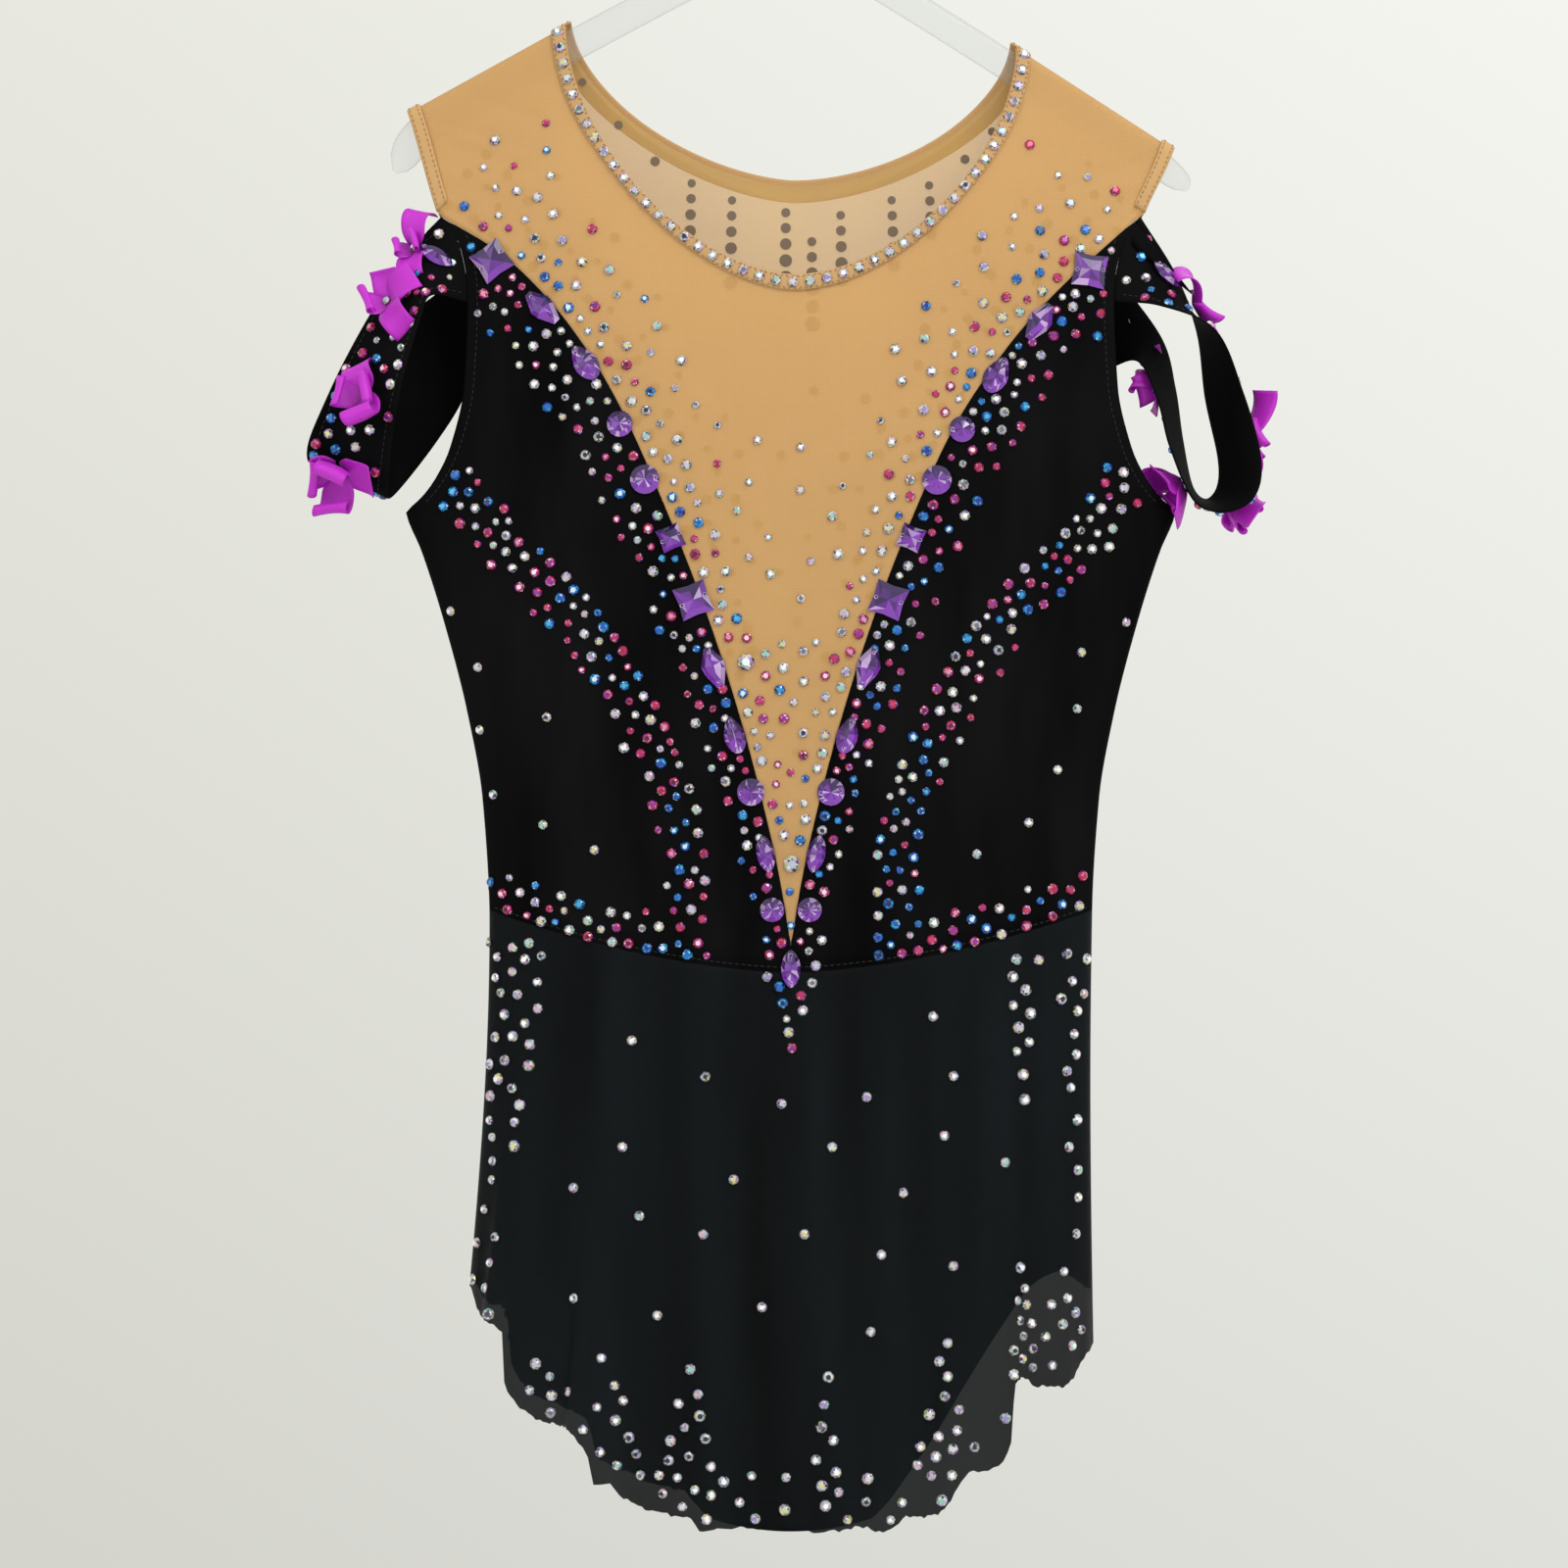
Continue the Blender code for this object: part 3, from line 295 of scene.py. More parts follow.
class Nodes:
    """A short way to place and join the nodes of one material or group."""

    def __init__(self, tree: bpy.types.NodeTree) -> None:
        """Keeps the tree that the nodes go in."""
        self.tree = tree

    def add(self, kind: str, **settings: object) -> bpy.types.Node:
        """A new node with its settings."""
        node = self.tree.nodes.new(kind)
        for name, value in settings.items():
            setattr(node, name, value)
        return node

    def feed(self, socket: bpy.types.NodeSocket, value: object) -> None:
        """Joins an output to a socket, or sets the socket's own value."""
        if isinstance(value, bpy.types.NodeSocket):
            self.tree.links.new(value, socket)
        else:
            socket.default_value = value

    def math(self, operation: str, *values: object) -> bpy.types.NodeSocket:
        """The result of a sum on numbers or outputs."""
        node = self.add("ShaderNodeMath", operation=operation)
        for socket, value in zip(node.inputs, values):
            self.feed(socket, value)
        return node.outputs[0]

    def clamped(self, value: object, low: float = 0.0, high: float = 1.0) -> bpy.types.NodeSocket:
        """A value held between two limits."""
        return self.math("MINIMUM", self.math("MAXIMUM", value, low), high)

    def parts(self, vector: bpy.types.NodeSocket) -> Sequence[bpy.types.NodeSocket]:
        """The X, Y and Z of a vector."""
        node = self.add("ShaderNodeSeparateXYZ")
        self.feed(node.inputs[0], vector)
        return node.outputs

    def mix(self, part: object, first: object, second: object) -> bpy.types.NodeSocket:
        """A colour between two others."""
        node = self.add("ShaderNodeMix", data_type="RGBA")
        for name, value in (("Factor", part), ("A", first), ("B", second)):
            socket = [s for s in node.inputs if s.name == name and s.enabled][0]
            self.feed(socket, (*value, 1) if isinstance(value, tuple) else value)
        return [s for s in node.outputs if s.enabled][0]

    def noise(self, where: object, scale: float, detail: float = 2.0) -> bpy.types.NodeSocket:
        """Soft random values from 0 to 1, at a number of blots a metre."""
        node = self.add("ShaderNodeTexNoise")
        self.feed(node.inputs["Vector"], where)
        node.inputs["Scale"].default_value = scale
        node.inputs["Detail"].default_value = detail
        return node.outputs["Fac"]

    def bump(self, shader: bpy.types.Node, height: object, strength: float, distance: float
             ) -> None:
        """Lifts the shader's normal by a height."""
        lift = self.add("ShaderNodeBump")
        lift.inputs["Strength"].default_value = strength
        lift.inputs["Distance"].default_value = distance
        self.feed(lift.inputs["Height"], height)
        self.feed(shader.inputs["Normal"], lift.outputs[0])

    def place(self) -> bpy.types.NodeSocket:
        """The place on the object."""
        return self.add("ShaderNodeTexCoord").outputs["Object"]

    def cloth(self) -> bpy.types.NodeSocket:
        """The place on the cloth's own map."""
        return self.add("ShaderNodeUVMap", uv_map="cloth").outputs[0]


def weave_group() -> bpy.types.NodeTree:
    """A net or knit on the cloth's own map: two sets of threads crossed aslant.

    Height is the product of two sines, one along each thread, and Hole is 1 between them.

    Returns:
        The group, made once.
    """
    made = bpy.data.node_groups.get("crossed threads")
    if made:
        return made
    tree = bpy.data.node_groups.new("crossed threads", "ShaderNodeTree")
    for way, label, kind in (("INPUT", "Vector", "Vector"), ("INPUT", "Pitch", "Float"),
                             ("INPUT", "Slant", "Float"), ("OUTPUT", "Height", "Float"),
                             ("OUTPUT", "Hole", "Float")):
        tree.interface.new_socket(label, in_out=way, socket_type="NodeSocket" + kind)
    nodes = Nodes(tree)
    given, result = nodes.add("NodeGroupInput"), nodes.add("NodeGroupOutput")
    turn = nodes.add("ShaderNodeVectorRotate", rotation_type="Z_AXIS")
    nodes.feed(turn.inputs["Vector"], given.outputs["Vector"])
    nodes.feed(turn.inputs["Angle"], given.outputs["Slant"])
    waves = []
    for part in nodes.parts(turn.outputs[0])[:2]:
        rounds = nodes.math("DIVIDE", part, given.outputs["Pitch"])
        waves.append(nodes.math("SINE", nodes.math("MULTIPLY", rounds, 2 * math.pi)))
    product = nodes.math("MULTIPLY", *waves)
    nodes.feed(result.inputs["Height"], nodes.math("MULTIPLY_ADD", product, 0.5, 0.5))
    hole = nodes.math("GREATER_THAN", nodes.math("ABSOLUTE", product), HOLE_FROM)
    nodes.feed(result.inputs["Hole"], hole)
    return tree


@dataclass(frozen=True)
class Finish:
    """A finish with one shader, which each kind of surface below fills in."""

    name: str
    slot: str | None
    colour: Colour
    roughness: float

    def material(self) -> bpy.types.Material:
        """The material, made the first time that it is asked for."""
        made = bpy.data.materials.get(self.name)
        if made:
            return made
        made = bpy.data.materials.new(self.name)
        made.use_nodes = True
        made.diffuse_color = (*self.colour, 1)
        shader = made.node_tree.nodes["Principled BSDF"]
        shader.inputs["Base Color"].default_value = (*self.colour, 1)
        shader.inputs["Roughness"].default_value = self.roughness
        self.dress(Nodes(made.node_tree), shader)
        return made

    def dress(self, nodes: Nodes, shader: bpy.types.Node) -> None:
        """Adds the finish's own nodes; a plain one has none."""


@dataclass(frozen=True)
class ClothFinish(Finish):
    """Stretch cloth: crossed threads as bump and painted shade, blotches of random tone or painted
    fold sheen, and an even veil.
    """

    # The darker colour: painted shade between threads and in fold streaks, random tone in round
    # blotches.
    shade: Colour = (0.0, 0.0, 0.0)
    pitch: float = 0.0012
    slant: float = 0.7854
    thread: float = 0.25
    bump: float = 0.15
    cover: float = 1.0
    hole_cover: float = 1.0
    sheen: float = 0.0
    gloss: float = 0.3
    blot: float = 14.0
    streak: float = 1.0
    contrast: float = 1.2

    def dress(self, nodes: Nodes, shader: bpy.types.Node) -> None:
        """Colour from blotches and threads, with painted shade between threads, bump from threads,
        and cover for a net.
        """
        where = nodes.cloth()
        weave = nodes.add("ShaderNodeGroup", node_tree=weave_group())
        for name, value in (("Vector", where), ("Pitch", self.pitch), ("Slant", self.slant)):
            nodes.feed(weave.inputs[name], value)
        # Noise drawn out upright by streak: long streaks are painted sheen and shade of folds,
        # round blotches random tone.
        drawn = nodes.add("ShaderNodeVectorMath", operation="MULTIPLY")
        nodes.feed(drawn.inputs[0], where)
        drawn.inputs[1].default_value = (1.0, self.streak, 1.0)
        blots = nodes.noise(drawn.outputs[0], self.blot, 3.0)
        level = (1 - self.contrast) / 2
        soft = nodes.clamped(nodes.math("MULTIPLY_ADD", blots, self.contrast, level))
        # Threads lighter on their crests and darker between them: painted shade.
        threads = nodes.math("MULTIPLY", weave.outputs["Height"], self.thread)
        part = nodes.math("MULTIPLY_ADD", soft, 1 - self.thread, threads)
        nodes.feed(shader.inputs["Base Color"], nodes.mix(part, self.shade, self.colour))
        nodes.bump(shader, weave.outputs["Height"], self.bump, 0.0003)
        if self.cover < 1:
            span = self.hole_cover - self.cover
            cover = nodes.math("MULTIPLY_ADD", weave.outputs["Hole"], span, self.cover)
            nodes.feed(shader.inputs["Alpha"], cover)
        shader.inputs["Sheen Weight"].default_value = self.sheen
        shader.inputs["Sheen Roughness"].default_value = 0.4
        shader.inputs["Specular IOR Level"].default_value = self.gloss


@dataclass(frozen=True)
class FacetFinish(Finish):
    """Cut glass with a foil back: each facet painted its own colour as its reflections and shade,
    under a hard clear coat.
    """

    metal: float = 0.3

    def dress(self, nodes: Nodes, shader: bpy.types.Node) -> None:
        """Reads the facets' painted colours, and sets the coat."""
        facet = nodes.add("ShaderNodeAttribute", attribute_name="facet")
        nodes.feed(shader.inputs["Base Color"], facet.outputs["Color"])
        shader.inputs["Metallic"].default_value = self.metal
        shader.inputs["Coat Weight"].default_value = 0.45
        shader.inputs["Coat Roughness"].default_value = 0.03


@dataclass(frozen=True)
class RibbonFinish(Finish):
    """Satin ribbon: fine ribs along its length, painted shade in its folds, with a soft sheen."""

    shade: Colour = (0.2, 0.0, 0.25)

    def dress(self, nodes: Nodes, shader: bpy.types.Node) -> None:
        """Ribs as bump, and painted shade from the petals' own map, darker at the throat, with
        blotches of random tone.
        """
        where = nodes.cloth()
        across, along, _ = nodes.parts(where)
        # Painted shade: darker near the throat, where the petals' map starts.
        throat = nodes.math("MULTIPLY", along, 160.0)
        blots = nodes.noise(where, 120.0)
        part = nodes.math("MINIMUM", nodes.math("MULTIPLY_ADD", blots, 0.5, throat), 1.0)
        nodes.feed(shader.inputs["Base Color"], nodes.mix(part, self.shade, self.colour))
        ribs = nodes.math("SINE", nodes.math("MULTIPLY", across, 2 * math.pi / RIB_PITCH))
        nodes.bump(shader, ribs, 0.12, 0.0002)
        shader.inputs["Sheen Weight"].default_value = 0.08
        shader.inputs["Sheen Tint"].default_value = (1.0, 0.6, 1.0, 1)


@dataclass(frozen=True)
class MottledFinish(Finish):
    """One colour with darker noise in it: twisted thread, or a painted floor."""

    scale: float = 1800.0
    dark: float = 0.6

    def dress(self, nodes: Nodes, shader: bpy.types.Node) -> None:
        """Shade from noise on the object's own place."""
        blots = nodes.noise(nodes.place(), self.scale)
        dark = tuple(self.dark * part for part in self.colour)
        nodes.feed(shader.inputs["Base Color"], nodes.mix(blots, dark, self.colour))


@dataclass(frozen=True)
class ClearFinish(Finish):
    """Clear moulded plastic, with faint flow marks in its gloss."""

    def dress(self, nodes: Nodes, shader: bpy.types.Node) -> None:
        """Lets light through, less at its rim, with the roughness a little uneven."""
        marks = nodes.noise(nodes.place(), 60.0)
        nodes.feed(shader.inputs["Roughness"], nodes.math("MULTIPLY_ADD", marks, 0.08, 0.02))
        edge = nodes.add("ShaderNodeLayerWeight")
        edge.inputs["Blend"].default_value = 0.35
        rim = nodes.math("POWER", edge.outputs["Facing"], 2.2)
        nodes.feed(shader.inputs["Alpha"], nodes.math("MULTIPLY_ADD", rim, 0.75, 0.13))


@dataclass(frozen=True)
class MetalFinish(Finish):
    """Polished wire with fine drawing marks along it."""

    def dress(self, nodes: Nodes, shader: bpy.types.Node) -> None:
        """Roughness from fine noise."""
        marks = nodes.noise(nodes.place(), 900.0)
        nodes.feed(shader.inputs["Roughness"], nodes.math("MULTIPLY_ADD", marks, 0.15, 0.1))
        shader.inputs["Metallic"].default_value = 1.0


NUDE_FRONT = ClothFinish("nude mesh two layers", "nude_mesh", (0.80, 0.475, 0.175), 0.75,
                         shade=(0.60, 0.335, 0.11), pitch=0.0013, thread=0.75, bump=0.35,
                         cover=0.64, hole_cover=0.50, sheen=0.1)
# The same nude mesh with its colours painted lighter: painted light, as light passes through the
# single layer.
NUDE_BACK = ClothFinish("nude mesh one layer", "nude_mesh", (0.90, 0.58, 0.175), 0.75,
                        shade=(0.62, 0.41, 0.20), pitch=0.0013, thread=0.45, bump=0.35,
                        cover=0.56, hole_cover=0.46, sheen=0.1)
NUDE_BINDING = ClothFinish("nude folded binding", "nude_binding", (0.66, 0.40, 0.165), 0.65,
                           shade=(0.50, 0.29, 0.13), pitch=0.0008, thread=0.3, bump=0.3,
                           sheen=0.15)
# Both blacks have their blotches drawn into long upright streaks of high contrast: painted sheen
# and shade of folds.
BLACK_LYCRA = ClothFinish("black lycra", "black_lycra", (0.0078, 0.0076, 0.0086), 0.6,
                          shade=(0.0022, 0.0022, 0.0026), pitch=0.0007, thread=0.25, bump=0.25,
                          gloss=0.006, blot=26.0, streak=0.22, contrast=3.0)
BLACK_SHEER = ClothFinish("sheer black mesh", "black_sheer_mesh", (0.0084, 0.0112, 0.0136), 0.5,
                          shade=(0.0018, 0.0024, 0.0028), pitch=0.0011, thread=0.25, bump=0.3,
                          cover=0.86, hole_cover=0.78, gloss=0.06,
                          blot=30.0, streak=0.1, contrast=3.0)
RIBBON = RibbonFinish("magenta ribbon", "magenta_ribbon", (0.54, 0.012, 0.60), 0.5,
                      shade=(0.20, 0.006, 0.22))
CRYSTAL = FacetFinish("glued crystals", None, (0.8, 0.8, 0.85), 0.12, metal=0.25)
VIOLET = FacetFinish("violet sew-on crystal", "violet_stone", (0.28, 0.07, 0.6), 0.08, metal=0.15)
GLUE = Finish("backs of glued stones", None, (0.20, 0.145, 0.095), 0.6)
NUDE_THREAD = MottledFinish("nude thread", None, (0.46, 0.26, 0.11), 0.6)
BLACK_THREAD = MottledFinish("black thread", None, (0.008, 0.008, 0.009), 0.7)
CLEAR = ClearFinish("clear plastic", "clear_plastic", (0.50, 0.53, 0.55), 0.05)
METAL = MetalFinish("polished wire", "polished_metal", (0.72, 0.72, 0.74), 0.15)
FLOOR = MottledFinish("pale floor", None, (0.80, 0.80, 0.78), 0.8, scale=3.0, dark=0.97)


# The garment's form


@dataclass(frozen=True)
class Crease:
    """A soft trough (below zero) or ridge in the cloth, along a line that fades at its ends."""

    start: tuple[float, float]
    end: tuple[float, float]
    width: float
    high: float

    def at(self, across: Array, drop: Array) -> Array:
        """Its height: high, times a bell of the distance off the line, faded by a sine.

        Args:
            across: Places across the cloth.
            drop: Places down the cloth.

        Returns:
            How far out of the cloth's plain form each place lies.
        """
        line = np.subtract(self.end, self.start)
        length = np.hypot(*line)
        off_x, off_y = across - self.start[0], drop - self.start[1]
        along = (off_x * line[0] + off_y * line[1]) / length**2
        aside = (off_x * line[1] - off_y * line[0]) / length
        fade = np.sin(math.pi * np.clip(along, 0, 1)) ** 0.8
        return self.high * np.exp(-((aside / self.width) ** 2)) * fade


YOKE_CREASES = (
    Crease((-176, 182), (-118, 196), 3.0, -0.5), Crease((-176, 190), (-112, 208), 3.4, -0.6),
    Crease((-174, 198), (-120, 222), 3.0, 0.5), Crease((-150, 170), (-106, 186), 3.0, -0.4),
    Crease((168, 186), (118, 204), 3.2, -0.6), Crease((170, 196), (122, 218), 3.4, 0.5),
    Crease((-60, 262), (-20, 330), 7.0, -0.6), Crease((64, 262), (24, 338), 7.0, -0.7),
    Crease((-30, 300), (-8, 420), 8.0, 0.6), Crease((26, 320), (6, 440), 8.0, 0.5),
)
BODICE_CREASES = {Face.FRONT: (
    Crease((-148, 262), (-96, 330), 7.0, -1.3), Crease((-150, 300), (-88, 390), 9.0, 1.2),
    Crease((-152, 330), (-110, 420), 8.0, -1.1), Crease((-168, 356), (-120, 440), 7.0, 0.9),
    Crease((-132, 420), (-120, 536), 9.0, -0.9), Crease((-92, 400), (-84, 540), 12.0, 1.0),
    Crease((-58, 470), (-52, 560), 8.0, -0.8), Crease((-30, 500), (-34, 566), 6.0, 0.6),
    Crease((146, 268), (98, 336), 7.0, -1.2), Crease((150, 304), (94, 396), 9.0, 1.2),
    Crease((154, 334), (112, 418), 8.0, -1.0), Crease((166, 356), (124, 436), 7.0, 0.9),
    Crease((128, 420), (118, 534), 9.0, -0.8), Crease((90, 410), (80, 538), 12.0, 1.0),
    Crease((56, 470), (50, 558), 8.0, -0.8), Crease((110, 380), (40, 470), 9.0, 0.7),
), Face.BACK: (
    Crease((-150, 280), (-70, 370), 9.0, -1.2), Crease((150, 290), (60, 380), 9.0, -1.3),
    Crease((-120, 420), (-20, 452), 10.0, 1.1), Crease((126, 440), (16, 470), 11.0, -1.1),
    Crease((-110, 500), (-24, 516), 9.0, -1.0), Crease((-60, 360), (-44, 520), 10.0, 0.8),
    Crease((64, 380), (48, 530), 10.0, 0.9), Crease((166, 352), (110, 430), 7.0, 0.8),
)}
SPREAD_POWER = 0.8
BEARING_POWER = 1.25


def spread(angle: Array) -> Array:
    """How far across the flattened tube a bearing is: its sine to a power, sign kept."""
    return np.sign(angle) * np.abs(np.sin(angle)) ** SPREAD_POWER


def stand(angle: Array) -> Array:
    """How far out of the middle plane a bearing is: its cosine to the same power."""
    return np.abs(np.cos(angle)) ** SPREAD_POWER


def bearing_of(part: Array) -> Array:
    """The bearing that is spread by a part, from -1 to 1, of the half width."""
    return np.sign(part) * np.arcsin(np.clip(np.abs(part), 0, 1) ** BEARING_POWER)


@dataclass(frozen=True)
class BodyForm:
    """The flattened tube that every panel of the body is worked out on."""

    middle_x: float = -5.0
    hang_slope: float = 0.048
    tilt_full_to: Curve = Curve(((90, 258), (125, 221), (160, 181)))
    tilt_gone_by: Curve = Curve(((90, 357), (125, 292), (160, 224)))
    half_width: Curve = Curve((
        (130, 188.0), (219, 187.0), (300, 185.0), (357, 178.5), (375, 171.3), (408, 160.8),
        (450, 150.0), (490, 143.0), (543, 139.8), (620, 139.0), (840, 142.0)))
    half_depth: Curve = Curve((
        (130, 13.0), (219, 20.0), (300, 25.0), (357, 27.0), (375, 27.0), (408, 27.0),
        (450, 26.5), (490, 25.5), (543, 24.0), (620, 25.5), (840, 31.0)))
    shoulder_slope: float = 0.599
    shoulder_out: tuple[float, float] = (177.5, 180.0)
    shoulder_round: float = 5.8
    shoulder_fade: float = 110.0
    shoulder_lip: tuple[float, ...] = (0.0, 0.02, 0.06, 0.2, 0.45, 0.8, 1.3, 1.9, 2.6, 3.5, 4.6,
                                       5.8)
    neck_half: float = 104.3
    neck_low: tuple[float, float] = (249.1, 203.0)
    neck_power: tuple[float, float] = (1.75, 1.68)
    v_edge: Curve = Curve((
        (219, 163.5), (247, 128.0), (276, 101.5), (312, 78.0), (348, 61.0), (405, 38.5),
        (455, 22.5), (491, 13.0), (527, 5.0), (557, 0.0)))
    v_top: float = 219.0
    v_tip: float = 557.0
    armhole: Curve = Curve((
        (219, 163.5), (235, 152.5), (258, 148.7), (300, 150.4), (328, 156.8), (341, 163.0),
        (350, 169.8), (357, 178.5)))
    underarm: float = 357.0
    waist_middle: float = 569.0
    waist_rise: float = 28.0
    waist_half: float = 140.0
    waist_power: float = 1.7
    seam_gap: float = 0.04
    waist_gap: float = 0.5

    def shoulder_drop(self, across: Array) -> Array:
        """The straight line of the shoulder seam, carried on over the neck."""
        return self.shoulder_out[1] - self.shoulder_slope * (self.shoulder_out[0] - np.abs(across))

    def waist_drop(self, across: Array) -> Array:
        """The waist seam: lowest in the middle, rising to each side as a power."""
        part = np.clip(np.abs(across) / self.waist_half, 0, 1)
        return self.waist_middle - self.waist_rise * part**self.waist_power

    def hung(self, across: Array, drop: Array, y: Array) -> Array:
        """A place on the garment as points in metres, tilted as the hanger hangs."""
        across, drop, y = np.broadcast_arrays(across, drop, y)
        start, end = self.tilt_full_to(np.abs(across)), self.tilt_gone_by(np.abs(across))
        tilt = self.hang_slope * across * (1 - eased((drop - start) / (end - start)))
        return np.stack([across + self.middle_x, y, -(drop + tilt)], axis=-1) * MM

    def bearing(self, across: Array, drop: Array) -> Array:
        """How far round the tube a place is: 0 in the middle, a right angle at the side."""
        return bearing_of(across / self.half_width(drop))

    def side_bearing(self, drop: Array) -> Array:
        """The bearing of the side seam, half a seam gap from the middle plane."""
        return np.arccos((self.seam_gap / 2 / self.half_depth(drop)) ** BEARING_POWER)

    def on_tube(self, angle: Array, drop: Array, face: Face, creases: Sequence[Crease] = ()
                ) -> Array:
        """Points on the cloth's outer face.

        Its depth is narrowed to a rounded edge along the shoulder, and moved by the
        creases away from the seams.

        Args:
            angle: The bearing round the tube.
            drop: How far down.
            face: Front or back.
            creases: Soft troughs and ridges to add.

        Returns:
            Points in metres.
        """
        across = self.half_width(drop) * spread(angle)
        tube = self.half_depth(drop) * stand(angle)
        below = np.maximum(drop - self.shoulder_drop(across), 0)
        part = np.minimum(below / self.shoulder_round, 1)
        lip = self.shoulder_round * np.sqrt(1 - (1 - part) ** 2)
        rise = 1 - (1 - np.minimum(below / self.shoulder_fade, 1)) ** 2
        shoulder = lip + (tube - self.shoulder_round) * rise
        depth = np.where(below < self.shoulder_fade, shoulder, tube)
        calm = eased(below / 14) * eased((tube - 2) / 8)
        depth = depth + sum(crease.at(across, drop) for crease in creases) * calm
        return self.hung(across, drop, face.value * np.maximum(depth, self.seam_gap / 2))

    def surface(self, face: Face, creases: Sequence[Crease] = ()) -> Surface:
        """The cloth's outer face as a function of (across, drop)."""
        def read(across: Array, drop: Array) -> Array:
            """Points in metres."""
            return self.on_tube(self.bearing(across, drop), drop, face, creases)
        return read

    def neck_line(self, face: Face, count: int) -> Array:
        """Half a neckline, from the right shoulder down to the middle, a power curve."""
        angle = np.linspace(0, math.pi / 2, count)
        low, power = (pair[face is Face.BACK] for pair in (self.neck_low, self.neck_power))
        top = self.shoulder_drop(self.neck_half)
        across = self.neck_half * np.cos(angle) ** (2 / power)
        return np.stack([across, top + (low - top) * np.sin(angle) ** (2 / power)], axis=1)

    def mesh_edge(self, count: int = 600) -> Array:
        """The black cloth's edge in the mesh, from the armhole to the tip of the V."""
        drop = np.linspace(self.v_top, self.v_tip, count)
        return np.stack([self.v_edge(drop), drop], axis=1)

    def in_mesh(self, across: Array, drop: Array, within: float = 0.0) -> Array:
        """Whether places lie in the V of mesh, by a distance within its edge."""
        return (np.abs(across) < self.v_edge(drop) - within) & (drop < self.v_tip)

    def at_lip(self, points: Array) -> Array:
        """The places where a line is as far below the shoulder line as the lip's steps."""
        depth = points[:, 1] - self.shoulder_drop(points[:, 0])
        return np.stack([np.interp(self.shoulder_lip, depth, column) for column in points.T],
                        axis=1)

    def yoke_lines(self, face: Face, arm_steps: int, v_steps: int) -> tuple[Array, Array]:
        """The yoke's neck edge and its outer edge, point for point, across both shoulders."""
        neck = self.neck_line(face, 900)
        shoulder = np.array([self.shoulder_out, (self.v_edge(self.v_top), self.v_top)], float)
        inner_lip, outer_lip = self.at_lip(neck[:840]), self.at_lip(shoulder)
        rest = neck[neck[:, 1] > inner_lip[-1, 1]]
        inner = evenly(np.vstack([inner_lip[-1:], rest]), arm_steps + v_steps)
        arm = evenly(np.vstack([outer_lip[-1:], shoulder[-1:]]), arm_steps)
        v_line = shifted(evenly(self.mesh_edge(), v_steps), -self.seam_gap / 2)
        v_line[-1] = (0.0, self.v_tip - 1.5)
        outer = np.vstack([outer_lip[:-1], arm[:-1], v_line])
        inner = np.vstack([inner_lip[:-1], inner])
        return mirrored(inner), mirrored(outer)


def mirrored(half: Array) -> Array:
    """A line from the right shoulder to the middle, carried on to the left one."""
    return np.concatenate([half, half[:-1][::-1] * np.array([-1, 1])])


BODY = BodyForm()


@dataclass(frozen=True)
class Fold:
    """A fold of the skirt: where its crest is at the waist, and how it stands at the hem."""

    across: float
    width: float
    out: float
    lean: float

    def bell(self, start: Array) -> Array:
        """How much of it places have, by their distance across at the waist."""
        return np.exp(-(((start - self.across) / self.width) ** 2))


